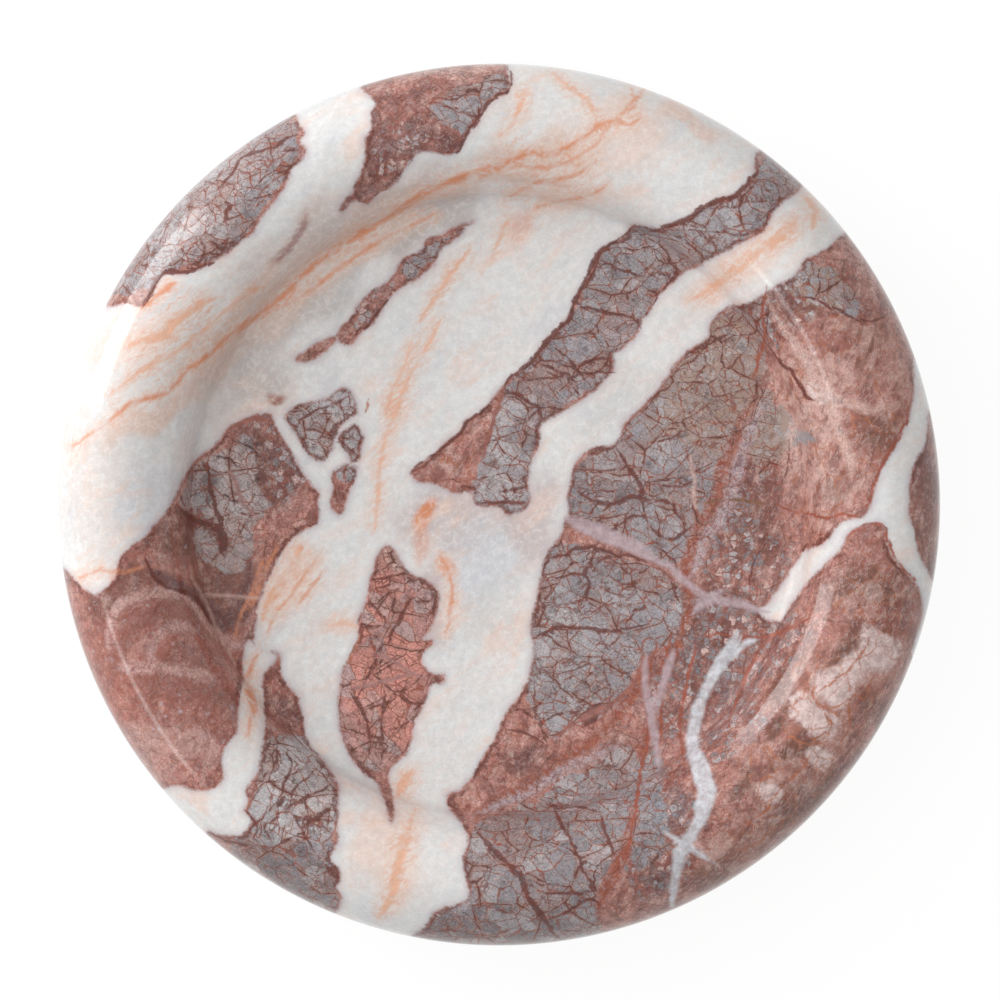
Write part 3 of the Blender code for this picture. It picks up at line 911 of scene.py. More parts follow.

# Soft washes of colour over each kind of stone, a few of them painted shade and painted reflection as marked:
# name, strength, and ovals of middle, radii and turn
MATRIX_WASHES = [
    ("red pink", 0.7, [(160, 680, 160, 180, 0)]),
    ("brick", 0.6, [(150, 650, 90, 90, 0), (270, 460, 50, 80, 20), (190, 720, 80, 60, 0)]),
    ("brown", 0.7, [(225, 585, 40, 65, 0), (190, 545, 60, 35, -30), (125, 590, 50, 24, 30)]),
    ("brick", 0.7, [(720, 620, 110, 190, 10), (655, 830, 70, 110, 0), (785, 300, 50, 80, -10)]),
    ("brown", 0.7, [(750, 520, 50, 60, 0), (700, 650, 40, 60, 0), (790, 290, 50, 50, 0)]),
    ("red pink", 0.7, [(390, 660, 60, 150, 0), (440, 455, 60, 50, 40)]),
    ("pink", 0.8, [(850, 420, 120, 140, 0), (830, 730, 150, 110, 45)]),
    ("brick", 0.6, [(880, 590, 70, 80, 0), (420, 120, 80, 90, 0), (820, 800, 110, 60, 45)]),
    ("pale pink", 0.6, [(812, 395, 50, 60, 0), (800, 475, 30, 40, 0), (815, 455, 24, 50, 0)]),
    ("mauve", 0.7, [(385, 148, 20, 18, 0), (402, 130, 18, 18, 0), (381, 278, 12, 18, 40)]),
    ("brick", 0.8, [(855, 330, 50, 40, -40), (900, 480, 24, 60, 0), (868, 440, 30, 40, 0)]),
    ("brick", 0.7, [(610, 775, 44, 30, 40), (560, 770, 50, 16, 30), (880, 620, 40, 50, 0)]),
    ("pale pink", 0.6, [(450, 72, 64, 10, 4), (450, 445, 16, 12, 0), (438, 468, 12, 8, 0)]),
    ("pale pink", 0.5, [(604, 752, 34, 10, 35), (628, 790, 10, 26, 0)]),
    ("dark grey", 0.8, [(740, 622, 14, 12, 0), (672, 815, 18, 30, 0), (655, 878, 20, 22, 0)]),
    ("dark grey", 0.8, [(690, 655, 20, 36, 0), (733, 690, 14, 44, 20), (700, 600, 40, 14, 0)]),
    # The pale pink washes on the lower left rim are partly painted reflection: the light streak of the strip
    # light along the rim.
    ("pale pink", 0.5, [(165, 757, 70, 26, 15), (145, 735, 40, 20, 10)]),
    ("brown", 0.7, [(870, 780, 80, 26, 50), (800, 855, 70, 22, 35), (735, 900, 50, 18, 20)]),
    ("plum", 0.8, [(755, 480, 32, 32, 0), (925, 482, 24, 40, 0), (446, 142, 24, 16, 0)]),
    ("plum", 0.7, [(372, 160, 22, 60, 0), (420, 128, 18, 26, 0), (350, 190, 20, 20, 0)]),
    ("plum", 0.7, [(526, 758, 30, 22, 10), (285, 708, 22, 32, 0), (280, 470, 26, 44, 0)]),
    ("brown", 0.8, [(885, 430, 36, 26, 40), (835, 485, 26, 22, 0), (865, 585, 60, 26, 0)]),
    ("brown", 0.9, [(786, 690, 20, 44, -20), (797, 752, 34, 20, 20), (846, 646, 34, 18, 40)]),
    ("brown", 0.8, [(790, 808, 40, 22, 40), (880, 715, 24, 30, 40), (720, 870, 40, 20, 20)]),
    ("brown", 0.6, [(890, 770, 60, 30, 50), (934, 560, 24, 90, 0), (610, 760, 40, 20, 40)]),
    ("brown", 0.4, [(775, 825, 60, 40, 40)]),
]
FRAGMENT_WASHES = [
    ("light grey", 0.9, [(500, 430, 20, 45, 15), (500, 490, 40, 20, 0), (200, 200, 110, 50, 45)]),
    ("light grey", 1.0, [(325, 430, 50, 60, 0), (372, 302, 60, 40, 50)]),
    ("mauve", 0.6, [(392, 142, 60, 70, 0)]),
    ("pale grey", 0.8, [(228, 500, 70, 80, 0)]),
    ("stained", 0.3, [(228, 500, 70, 80, 0)]),
    ("pale grey", 0.75, [(295, 790, 70, 80, 0)]),
    ("light grey", 0.5, [(680, 250, 70, 50, 20), (560, 640, 60, 70, 0)]),
    ("cell pink", 1.0, [(388, 660, 80, 170, 0)]),
    ("pale pink", 1.0, [(390, 556, 18, 14, 0)]),
    ("tan", 0.35, [(718, 388, 92, 92, 0), (688, 330, 60, 46, 0), (770, 430, 50, 50, 0)]),
    ("dark grey", 0.4, [(560, 850, 110, 70, 0), (600, 490, 70, 50, 0)]),
    # The small dark grey oval at the foot of the left wall is painted shade in the crease there.
    ("dark grey", 0.8, [(480, 930, 120, 35, 0), (290, 870, 70, 40, -30), (204, 490, 14, 36, 0)]),
    ("blue grey", 0.7, [(740, 550, 50, 60, 0), (670, 800, 60, 80, 0), (690, 660, 40, 60, 0)]),
]
CALCITE_WASHES = [
    # The dull peach washes along the upper left wall follow the orange vein's stain and also darken the wall
    # there: partly stain and partly painted shade.
    ("dull peach", 0.8, [(250, 330, 130, 42, 38), (400, 215, 150, 42, 28), (530, 160, 90, 30, 12)]),
    ("dull peach", 0.5, [(300, 245, 110, 36, 38), (480, 100, 90, 36, 10), (250, 395, 60, 40, 30)]),
    ("mauve", 0.4, [(455, 520, 80, 50, 0), (530, 520, 44, 60, 0), (430, 610, 24, 60, 0)]),
    ("orange", 1.0, [(430, 519, 14, 20, -20), (442, 568, 16, 15, 0)]),
    ("orange", 0.5, [(420, 545, 14, 30, -20), (515, 222, 14, 30, -30)]),
    ("orange", 0.3, [(290, 585, 20, 50, -25)]),
    ("pale orange", 0.5, [(560, 200, 50, 14, 20), (690, 120, 40, 16, -30), (150, 420, 70, 20, 30)]),
    ("mauve", 0.9, [(291, 239, 36, 8, 57)]),
    ("rust", 0.9, [(269, 394, 14, 8, 10)]),
    # The first grey washes here lie just inside the upper left wall and are painted shade, where the wall turns
    # away from the softbox.
    ("grey and painted shade", 0.5, [(258, 372, 62, 30, 45), (330, 295, 70, 22, 42), (425, 226, 80, 18, 28)]),
    ("grey and painted shade", 0.25, [(620, 400, 70, 40, 40), (490, 600, 50, 60, 0)]),
    ("dull peach", 0.3, [(100, 490, 60, 90, 0)]),
    ("peach", 0.6, [(610, 140, 90, 50, 20), (130, 340, 60, 40, 30)]),
    ("peach", 0.6, [(390, 850, 50, 70, 0), (750, 260, 80, 30, 38), (290, 580, 30, 50, 20)]),
    ("blue white", 0.6, [(150, 500, 50, 50, 0), (480, 560, 50, 60, 0)]),
]

# Where the broken stone is of a kind of its own: cloudy with ginger lines, full of loose grains,
# small cells in a tan net, or swirled; and where the cloudy stone has its palest lumps
STONE_KINDS = {
    "cloudy": [
        (850, 400, 104, 124, 0), (822, 492, 60, 48, 0), (885, 595, 66, 76, 0), (852, 670, 100, 66, 45),
        (795, 762, 92, 60, 45), (745, 852, 74, 50, 45), (448, 456, 60, 40, 40),
    ],
    "grainy": [
        (742, 560, 62, 90, 0), (705, 690, 84, 112, 0), (655, 835, 66, 90, 0), (772, 640, 46, 46, 0),
        (782, 300, 42, 66, -10), (272, 455, 34, 66, 20), (392, 142, 44, 60, 20), (372, 302, 50, 26, 50),
    ],
    "netted": [(718, 388, 92, 92, 0), (688, 330, 60, 46, 0), (765, 432, 46, 60, 0), (805, 283, 76, 40, 0)],
    "swirled": [(160, 670, 144, 170, 0), (205, 575, 74, 60, 0)],
    "lump": [
        (846, 680, 36, 32, 20), (874, 650, 28, 30, 0), (808, 718, 36, 26, -20), (822, 755, 20, 16, 0),
        (769, 788, 18, 15, 0), (812, 392, 16, 13, 30),
    ],
}


def keep(name, values):
    """Stores a value or a triple for each vertex of the bowl, for its material to read."""
    data_type, field = ("FLOAT_VECTOR", "vector") if values.ndim == 2 else ("FLOAT", "value")
    attribute = bowl_mesh.attributes.new(name, data_type, "POINT")
    attribute.data.foreach_set(field, values.ravel())


calcite = area_depth(CALCITE)
keep("calcite", np.minimum(calcite, -area_depth(ISLANDS)))
keep("fragment", area_depth(FRAGMENTS))
for layer, strokes, reach_px in (
    ("seam", SEAMS, 14),
    ("stain", STAINS, 40),
    ("band", BANDS, 30),
    ("vein", VEINS, 20),
):
    way, half, colour = drawn(strokes, reach_px)
    keep(layer + "_way", way)
    keep(layer + "_half", half)
    keep(layer + "_colour", colour)
keep("matrix_colour", washed("pink", MATRIX_WASHES))
keep("fragment_colour", washed("grey", FRAGMENT_WASHES))
keep("calcite_colour", washed("white", CALCITE_WASHES))
for name, ovals in STONE_KINDS.items():
    keep(name, covered(ovals))

# The polish is duller in the crease at the foot of the dish's wall, and the foot is only honed
CREASE_SHARE = 0.675
CREASE_HALF_SHARE = 0.055
CREASE_DULLNESS = 0.6
stone_radii = np.hypot(stone_points[:, 0], stone_points[:, 1])
crease = 1 - np.abs(stone_radii / rim_radius - CREASE_SHARE) / CREASE_HALF_SHARE
dull = np.where(underside, 0, np.clip(crease * 2, 0, 1) * CREASE_DULLNESS)
dull[ring_of > last_ring - FOOT_RINGS] = 1
keep("dull", dull)


class Shade:
    """A socket of a material's nodes, on which sums are written as plain arithmetic."""

    def __init__(self, tree, socket=None):
        self.tree = tree
        self.socket = socket

    def node(self, kind, settings=None, values=None, output=0):
        """Any node: its settings, the values or links of its sockets, and the output that is wanted."""
        made = self.tree.nodes.new(kind)
        for name, value in (settings or {}).items():
            setattr(made, name, value)
        for key, value in (values or {}).items():
            if isinstance(value, Shade):
                self.tree.links.new(value.socket, made.inputs[key])
            else:
                made.inputs[key].default_value = value
        return Shade(self.tree, made.outputs[output])

    def maths(self, operation, *others):
        """This number and others through one Math node."""
        return self.node("ShaderNodeMath", {"operation": operation}, dict(enumerate((self, *others))))

    def __add__(self, other):
        return self.maths("ADD", other)

    def __sub__(self, other):
        return self.maths("SUBTRACT", other)

    def __mul__(self, other):
        return self.maths("MULTIPLY", other)

    __radd__ = __add__
    __rmul__ = __mul__

    def __rsub__(self, other):
        return self * -1 + other

    def vector(self, operation, *others):
        """This place or colour and others through one Vector Math node."""
        return self.node("ShaderNodeVectorMath", {"operation": operation}, dict(enumerate((self, *others))))

    def scaled(self, factor):
        """This place or colour times a number."""
        return self.node("ShaderNodeVectorMath", {"operation": "SCALE"}, {0: self, 3: factor})

    def rise(self, low, high):
        """0 below low and 1 above high, with a smooth step between."""
        values = {0: self, 1: low, 2: high}
        return self.node("ShaderNodeMapRange", {"interpolation_type": "SMOOTHSTEP"}, values)

    def towards(self, colour, cover):
        """This colour with another laid over it."""
        if not isinstance(colour, Shade):
            colour = (*colour, 1)
        return self.node("ShaderNodeMix", {"data_type": "RGBA"}, {0: cover, 6: self, 7: colour}, 2)

    def noise(self, size, detail=2.0, rough=0.5, output=0):
        """Cloudy noise whose lumps are this many mm across, read at this place."""
        values = {"Vector": self, "Scale": 1 / size, "Detail": detail, "Roughness": rough}
        return self.node("ShaderNodeTexNoise", None, values, output)

    def cells(self, size, feature, output=0):
        """Broken cells this many mm across, read at this place."""
        values = {"Vector": self, "Scale": 1 / size}
        return self.node("ShaderNodeTexVoronoi", {"feature": feature}, values, output)

    def laid(self, turn, lengths):
        """This place on a grain laid at a turn in degrees, and drawn out along it."""
        values = {"Vector": self, "Rotation": (0, 0, math.radians(turn)), "Scale": lengths}
        return self.node("ShaderNodeMapping", {"vector_type": "TEXTURE"}, values)

    def strayed(self, size, amount, detail=2.0):
        """This place moved about by up to half the amount, in mm, in lumps of the given size."""
        stray = self.noise(size, detail, output=1).vector("SUBTRACT", (0.5, 0.5, 0.5))
        return self.vector("ADD", stray.scaled(amount))


def new_material(name):
    """An empty material, its shader, and a place to start its nodes from, in mm."""
    material = bpy.data.materials.new(name)
    material.use_nodes = True
    shader = material.node_tree.nodes["Principled BSDF"]
    start = Shade(material.node_tree)
    where = start.node("ShaderNodeTexCoord", output="Object").scaled(1000)
    return material, shader, where


def attach(tree, shader, **sockets):
    """Links values to a shader's sockets, named with an underscore for each space."""
    for name, value in sockets.items():
        tree.links.new(value.socket, shader.inputs[name.replace("_", " ")])


stone, stone_shader, where = new_material("polished_marble")


def stored(name, output=2):
    """What keep() stored: output 2 of its node is a single value, and output 1 a triple."""
    return where.node("ShaderNodeAttribute", {"attribute_name": name}, None, output)


def stroke(layer, ragged, soft, fullness=1.0, guard=0.8):
    """Cover of a drawn layer: its nearest stroke, made ragged, and nothing where no stroke is near.

    Soft is the width of its border in mm, fullness the share of its drawn width that it fills,
    and guard how far in mm it may stray past that width.
    """
    way = stored(layer + "_way", 1)
    distance = way.node("ShaderNodeSeparateXYZ", None, {0: way}, 2)
    flat = way.vector("MULTIPLY", (1, 1, 0)).vector("ADD", ragged.vector("MULTIPLY", (1, 1, 0)))
    apart = flat.node("ShaderNodeVectorMath", {"operation": "LENGTH"}, {0: flat}, 1)
    half = stored(layer + "_half")
    full = half * fullness
    return (1 - apart.rise(full - soft, full + soft)) * (1 - distance.rise(half + guard * 0.6, half + guard))


def ridge(field, middle, width):
    """Thin lines where a cloudy field passes its middle value."""
    return 1 - (field - middle).maths("ABSOLUTE").rise(0, width)


def broken_cells(at, size):
    """For broken cells of this size: how far in mm the nearest border is, and two numbers for each cell."""
    apart = at.cells(size, "DISTANCE_TO_EDGE") * size
    colour = at.cells(size, "F1", 1)
    numbers = [colour.node("ShaderNodeSeparateColor", None, {0: colour}, k) for k in (0, 1)]
    return apart, *numbers


# Unevenness that every kind of stone shares, from lumps of 10 mm down to grit of half a millimetre,
# and the jagged way in which its lines stray
slow = where.noise(10, 3, 0.55).rise(0.3, 0.7)
quick = where.noise(2.4, 3, 0.6).rise(0.3, 0.7)
fine = where.noise(0.8, 2, 0.65).rise(0.3, 0.7)
grit = where.noise(0.55, 1, 0.6).rise(0.35, 0.65)
ragged = where.noise(3.4, 4, 0.65, output=1).vector("SUBTRACT", (0.5, 0.5, 0.5)).scaled(1.8)
jolts = where.strayed(3, 1.5).cells(3, "F1", 1).vector("SUBTRACT", (0.5, 0.5, 0.5)).scaled(0.8)
broken_line = ragged.scaled(0.5).vector("ADD", jolts)


def wander(slowly, quickly):
    """What is added to a measure so that its border wanders: slowly by so much, and quickly by so much."""
    return (slow - 0.5) * slowly + (quick - 0.5) * quickly


def kind(name):
    """Where a kind of stone lies, with a wandering border."""
    return (stored(name) + wander(0.4, 0.25)).rise(0.3, 0.7)


swirled, grainy, cloudy, netted = (kind(name) for name in ("swirled", "grainy", "cloudy", "netted"))

# Matrix: red clayey stone, mottled from brown to pale pink, with pale veils and rusty threads
folded = where.strayed(16, 11, 3)
mottle = folded.noise(7, 5, 0.68)
veil = where.strayed(22, 26, 3).noise(6, 4, 0.6)
thread = where.strayed(6, 5, 3).laid(62, (2.6, 1, 1)).noise(3.0, 4, 0.65)
flow = where.strayed(14, 5, 3).laid(68, (3.4, 1, 1)).noise(3.6, 4, 0.62)
fleck = where.strayed(5, 2.5).noise(1.3, 3, 0.7)
matrix = stored("matrix_colour", 1)
busy = 1 - 0.5 * swirled
matrix = matrix.towards(COLOURS["plum"], (1 - mottle.rise(0.36, 0.52)) * 0.7 * busy)
matrix = matrix.towards(COLOURS["pale pink"], mottle.rise(0.53, 0.68) * 0.6 * busy)
matrix = matrix.towards(COLOURS["maroon"], (1 - flow.rise(0.38, 0.46)) * 0.5 * busy)
matrix = matrix.towards(COLOURS["pale pink"], flow.rise(0.55, 0.64) * 0.45 * busy)
matrix = matrix.towards(COLOURS["pale pink"], ridge(veil, 0.5, 0.04) * 0.35 * quick)
matrix = matrix.towards(COLOURS["maroon"], (1 - fleck.rise(0.38, 0.46)) * 0.45 * busy)
matrix = matrix.towards(COLOURS["light grey"], fleck.rise(0.58, 0.68) * 0.4 * busy)
dot = 1 - where.strayed(4, 3).cells(5, "F1").rise(0.08, 0.2)
matrix = matrix.towards(COLOURS["lilac"], dot * 0.7 * swirled)
matrix = matrix.towards(COLOURS["rust"], ridge(thread, 0.47, 0.03) * 0.8 * slow)
matrix = matrix.towards(COLOURS["lilac"], ridge(thread, 0.56, 0.02) * 0.5 * (1 - slow))
matrix = matrix.scaled(0.67 + 0.2 * slow + (0.32 * quick + 0.24 * fine) * (0.3 + 0.7 * busy) + 0.14 * grit)

# Small grains, which lie loose in the matrix in one place and in a tan net in another
GRAIN_MM = 2.3

small_apart, small_tone, small_kind = broken_cells(where.strayed(4, 3.2, 3), GRAIN_MM)
grain_colour = stored("fragment_colour", 1).scaled(0.75)
grain_colour = grain_colour.towards(COLOURS["light grey"], small_kind.rise(0.40, 0.80))
grain_colour = grain_colour.towards(COLOURS["pale pink"], small_kind.rise(0.85, 0.95) * 0.8)
grain = small_apart.rise(0.05, 0.35) * (small_tone + wander(0.5, 0.3)).rise(0.44, 0.56)
body = matrix.towards(COLOURS["plum"], grainy * 0.4 * (1 - quick))
body = body.towards(grain_colour.scaled(0.6 + 0.4 * fine + 0.5 * grit), grain * grainy * 0.85)

# Cloudy stone: soft pale lumps with ginger lines between them
PUFF_MM = 8.5

puff_apart, puff_tone, _ = broken_cells(where.strayed(9, 8, 4), PUFF_MM)
puff = stored("matrix_colour", 1).towards(COLOURS["pale pink"], puff_tone.rise(0.35, 0.9) * 0.4)
puff = puff.towards(COLOURS["brick"], (1 - mottle.rise(0.38, 0.52)) * 0.75)
puff = puff.towards(COLOURS["pale pink"], mottle.rise(0.52, 0.68) * 0.5)
puff = puff.towards(COLOURS["plum"], (1 - flow.rise(0.38, 0.46)) * 0.45)
puff = puff.towards(COLOURS["brown"], (1 - thread.rise(0.38, 0.44)) * 0.6 * (1 - slow))
lump = (stored("lump") + wander(0.3, 0.25)).rise(0.05, 0.8)
puff = puff.towards(COLOURS["blossom"], lump * (0.7 + 0.3 * quick))
puff_line = 1 - puff_apart.rise(0.05, 0.15 + 0.4 * quick)
puff = puff.towards(COLOURS["ginger"], puff_line * 0.8 * (0.3 + 0.7 * slow))
puff = puff.towards(COLOURS["blossom"], ridge(thread, 0.54, 0.03) * 0.4)
puff = puff.towards(COLOURS["rust"], ridge(veil, 0.46, 0.012) * 0.6)
puff = puff.scaled(0.74 + 0.24 * quick + 0.14 * fine + 0.08 * grit)
body = body.towards(puff, cloudy)

# Fragments: grey stone shattered into cells, each of its own tone, and each split again
SHATTERED_MM = 11
SPLIT_MM = 4.8

broken = where.strayed(12, 4, 2).strayed(2.0, 0.5).laid(24, (1.5, 1, 1))
large_apart, large_tone, large_kind = broken_cells(broken, SHATTERED_MM)
split = where.strayed(6, 2.2, 2).strayed(1.4, 0.4).laid(-40, (1.5, 1, 1))
split_apart, split_tone, split_kind = broken_cells(split, SPLIT_MM)
fragment = stored("fragment_colour", 1)
fragment = fragment.towards(COLOURS["stained"], large_kind.rise(0.5, 1.0) * 0.35 + slow.rise(0.6, 1.0) * 0.2)
fragment = fragment.towards(COLOURS["light grey"], split_kind.rise(0.6, 0.95) * 0.55)
fragment = fragment.towards(COLOURS["tan"], (1 - split_apart.rise(0.1, 0.9)) * 0.25 * quick)
tone = (small_tone - 0.5) * 0.10 + (split_tone - 0.5) * 0.22 + (large_tone - 0.5) * 0.16
fragment = fragment.scaled(0.72 + tone + 0.18 * fine + 0.36 * grit + 0.10 * quick)
mortar = (1 - small_apart.rise(0.05, 0.30)).maths("MAXIMUM", 1 - small_tone.rise(0.2, 0.3))
fragment = fragment.towards(COLOURS["tan"], mortar * netted * (0.35 + 0.5 * fine))
inside_fragment = (stored("fragment") + wander(2.4, 1.6)).rise(-0.5, 0.5)
body = body.towards(fragment, inside_fragment)

# Bands of rust and lilac clay
band = stroke("band", ragged, 1.3, 0.6 + 0.7 * quick, 1.6)
banded = stored("band_colour", 1).towards(COLOURS["maroon"], (1 - thread.rise(0.36, 0.44)) * 0.55)
banded = banded.towards(COLOURS["ginger"], ridge(thread, 0.54, 0.04) * 0.65 * (1 - swirled))
banded = banded.towards(COLOURS["light grey"], grain * 0.3 * busy)
band_strength = (0.6 + 0.3 * quick) * (1 - 0.2 * cloudy) + 0.1
body = body.towards(banded.scaled(0.7 + 0.3 * fine + 0.3 * grit), band * band_strength)


def crack_width(size, closed, gain):
    """Half the width of a crack in mm, which swells and thins out along its way and closes in places."""
    return ((where.noise(size, 3, 0.6) - closed) * gain).maths("MAXIMUM", 0)


def crack(apart, width, soft):
    """A crack of this half width along the borders of the cells."""
    return 1 - apart.rise(width * 0.4, width + soft)


# Cracks, and the stain in the stone beside the wide ones
shattered = inside_fragment.maths("MAXIMUM", 0.55) * (1 - cloudy) * (1 - 0.3 * swirled)
large_width = crack_width(5, 0.41, 1.5)
beside_crack = 1 - large_apart.rise(large_width, large_width + 0.8)
body = body.towards(COLOURS["stained"], beside_crack * large_width.rise(0.03, 0.2) * 0.6 * shattered)
small_crack = crack(small_apart, crack_width(3, 0.46, 0.9), 0.06)
pale_line = ridge(where.strayed(4, 2).laid(35, (2.4, 1, 1)).noise(4, 3, 0.6), 0.53, 0.012)
body = body.towards(COLOURS["pale pink"], pale_line * shattered * 0.7 * quick)
body = body.towards(COLOURS["brown"], small_crack * shattered * 0.75 * (0.3 + 0.7 * slow))
split_crack = crack(split_apart, crack_width(4, 0.40, 1.0), 0.08)
body = body.towards(COLOURS["rust"], split_crack * shattered * (0.3 + 0.7 * quick))
body = body.towards(COLOURS["maroon"], split_crack * shattered * 0.5 * (1 - quick))
thin_crack = ridge(where.strayed(3, 1.2).laid(48, (3.2, 1, 1)).noise(5, 2, 0.5), 0.5, 0.012)
thin_cross = ridge(where.strayed(3, 1.2).laid(-28, (3.2, 1, 1)).noise(5, 2, 0.5), 0.5, 0.012)
thin = thin_crack.maths("MAXIMUM", thin_cross) * shattered
body = body.towards(COLOURS["maroon"], thin * 0.7 * (0.4 + 0.6 * quick))
large_crack = crack(large_apart, large_width, 0.06)
long_crack = ridge(where.strayed(5, 2).laid(20, (3.0, 1, 1)).noise(7, 2, 0.5), 0.5, 0.012)
cross_crack = ridge(where.strayed(4, 1.5).laid(-65, (3.0, 1, 1)).noise(8, 2, 0.5), 0.5, 0.010)
dark = large_crack.maths("MAXIMUM", long_crack * 0.7 * quick).maths("MAXIMUM", cross_crack * 0.6 * slow)
body = body.towards(COLOURS["maroon"], dark * shattered * (0.65 + 0.33 * fine))
body = body.towards(COLOURS["black"], (1 - large_apart.rise(0, large_width * 0.5)) * shattered * 0.5 * quick)
hairline = ridge(where.strayed(9, 5, 3).laid(-50, (2.0, 1, 1)).noise(6, 2, 0.5), 0.47, 0.010)
body = body.towards(COLOURS["pale pink"], hairline * 0.6 * quick * shattered)

# Calcite: white sugary crystals over all of this, clearer and darker where it thins out at its edge
GROWTH_TURN = 38
CRYSTAL_MM = 2.6

grown = where.strayed(12, 4).laid(GROWTH_TURN, (3.0, 1, 1))
cloud = grown.noise(9, 4, 0.6)
streak = grown.noise(3, 5, 0.65)
crystals = where.strayed(4, 2.0).laid(GROWTH_TURN, (1.4, 1, 1))
crystal_apart, crystal_tone, crystal_kind = broken_cells(crystals, CRYSTAL_MM)
white = stored("calcite_colour", 1)
drift = where.strayed(30, 20).noise(24, 2, 0.5).rise(0.35, 0.65)
white = white.towards(COLOURS["peach"], cloud.rise(0.48, 0.66) * (0.2 + 0.4 * drift))
white = white.towards(COLOURS["blue white"], (1 - cloud.rise(0.34, 0.48)) * 0.5 * (1 - drift))
white = white.towards(COLOURS["peach"], crystal_kind.rise(0.5, 1.0) * 0.25 * slow * drift)
white = white.towards(COLOURS["pale orange"], ridge(streak, 0.5, 0.012) * 0.35 * slow)
white = white.towards(COLOURS["bright white"], (1 - crystal_apart.rise(0.0, 0.45)) * 0.35 * quick)
white = white.scaled(0.88 + 0.05 * crystal_tone + 0.09 * quick + 0.04 * fine + 0.05 * grit + 0.03 * drift)
calcite_depth = stored("calcite")
calcite_edge = calcite_depth + wander(0.8, 0.6) + (fine - 0.5) * 0.2
thin_edge = 1 - (calcite_depth + (slow - 0.5) * 1.6).rise(-0.5, 3.2)
white = white.towards(COLOURS["lilac"], thin_edge * 0.75 * (0.35 + 0.65 * quick))
rim_stain = ridge(calcite_edge + quick, -0.3, 1.2)
body = body.towards(COLOURS["maroon"], rim_stain * 0.85 * slow.rise(0.25, 0.85))
body = body.towards(COLOURS["rust"], ridge(calcite_edge, -0.3, 0.6) * 0.6 * quick)
body = body.towards(white, calcite_edge.rise(-0.5, 1.0))
in_calcite = calcite_edge.rise(0, 0.6)
halo = stroke("stain", ragged.scaled(3.0), 4.5, 2.2, 10.0) * in_calcite
body = body.towards(COLOURS["peach"], halo * (0.55 + 0.4 * slow))
body = body.towards(COLOURS["pale orange"], halo * ridge(streak, 0.5, 0.08) * (0.6 + 0.4 * quick))
body = body.towards(COLOURS["orange"], halo * ridge(streak, 0.52, 0.025) * slow.rise(0.2, 0.8) * 0.7)
body = body.towards(COLOURS["bright white"], (1 - crystal_apart.rise(0.0, 0.4)) * 0.4 * halo)
stain = stroke("stain", ragged, 0.9, 0.5 + 0.9 * slow) * (0.4 + 0.6 * streak.rise(0.38, 0.58))
body = body.towards(stored("stain_colour", 1).scaled(0.6 + 0.8 * streak), stain * 0.9)

# Seams, dark in the middle and rusty beside it, and the last pale veins
swollen = 1.5 * where.noise(3.5, 3, 0.6) - 0.05
beside_seam = stroke("seam", broken_line, 0.7, 0.8, 1.0)
body = body.towards(COLOURS["rust"], beside_seam * 0.6 * (0.1 + 0.9 * quick))
seam = stroke("seam", broken_line, 0.25, swollen)
seam_colour = stored("seam_colour", 1).scaled(0.6 + 0.5 * quick + 0.3 * fine)
body = body.towards(seam_colour, seam * (0.65 + 0.33 * fine))
vein = stroke("vein", ragged.scaled(0.8), 0.9, 0.8 + 0.25 * slow, 1.2)
vein_colour = stored("vein_colour", 1).scaled(0.84 + 0.20 * quick + 0.08 * fine + 0.06 * grit)
body = body.towards(vein_colour, vein * (0.6 + 0.15 * slow + 0.25 * quick))

# The polish leaves a slight waviness, and the cracks a little below the surface
POLISHED_ROUGHNESS = 0.12
HONED_ROUGHNESS = 0.62
STONE_IOR = 1.5

waviness = slow * 0.012 + quick * 0.0015 - dark * shattered * 0.006
polish = where.node("ShaderNodeBump", None, {"Strength": 1.0, "Distance": 0.001, "Height": waviness})
roughness = POLISHED_ROUGHNESS + (HONED_ROUGHNESS - POLISHED_ROUGHNESS) * stored("dull")
attach(stone.node_tree, stone_shader, Base_Color=body, Normal=polish, Roughness=roughness)
stone_shader.inputs["IOR"].default_value = STONE_IOR

bowl_mesh.materials.append(stone)
bowl = bpy.data.objects.new("bowl", bowl_mesh)
bpy.context.scene.collection.objects.link(bowl)
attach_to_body(bowl, "root")
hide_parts("bowl_body")

# The pads: four discs of needle felt, punched from a sheet and stuck under the foot.
# Each is a little uneven, because the felt springs back where the punch cut it.
FELT_TURN_STEPS = 96
FELT_FACE_RINGS = 8
FELT_SIDE_RINGS = 8
FELT_EDGE_ROUND = 0.0006
FELT_WAVES = ((5, 0.00012), (11, 0.00006), (23, 0.00003))
FELT_BULGE = 0.0002
FELT_DARK = (0.030, 0.026, 0.024, 1)
FELT_LIGHT = (0.13, 0.12, 0.11, 1)
FELT_ROUGHNESS = 0.95
FELT_SHEEN = 0.3

felt, felt_shader, where = new_material("needle_felt")
matted = where.strayed(1.5, 2.0)
fibres = matted.noise(0.35, 4, 0.7)
tufts = where.strayed(4, 3.0).noise(1.8, 3, 0.6).rise(0.3, 0.7)
felt_mix = {0: fibres.rise(0.35, 0.7) * (0.5 + 0.5 * tufts), 6: FELT_DARK, 7: FELT_LIGHT}
felt_colour = where.node("ShaderNodeMix", {"data_type": "RGBA"}, felt_mix, 2)
pile = fibres * 0.25 + tufts * 0.1
fuzz = where.node("ShaderNodeBump", None, {"Strength": 1.0, "Distance": 0.001, "Height": pile})
attach(felt.node_tree, felt_shader, Base_Color=felt_colour, Normal=fuzz)
felt_shader.inputs["Roughness"].default_value = FELT_ROUGHNESS
felt_shader.inputs["Sheen Weight"].default_value = FELT_SHEEN


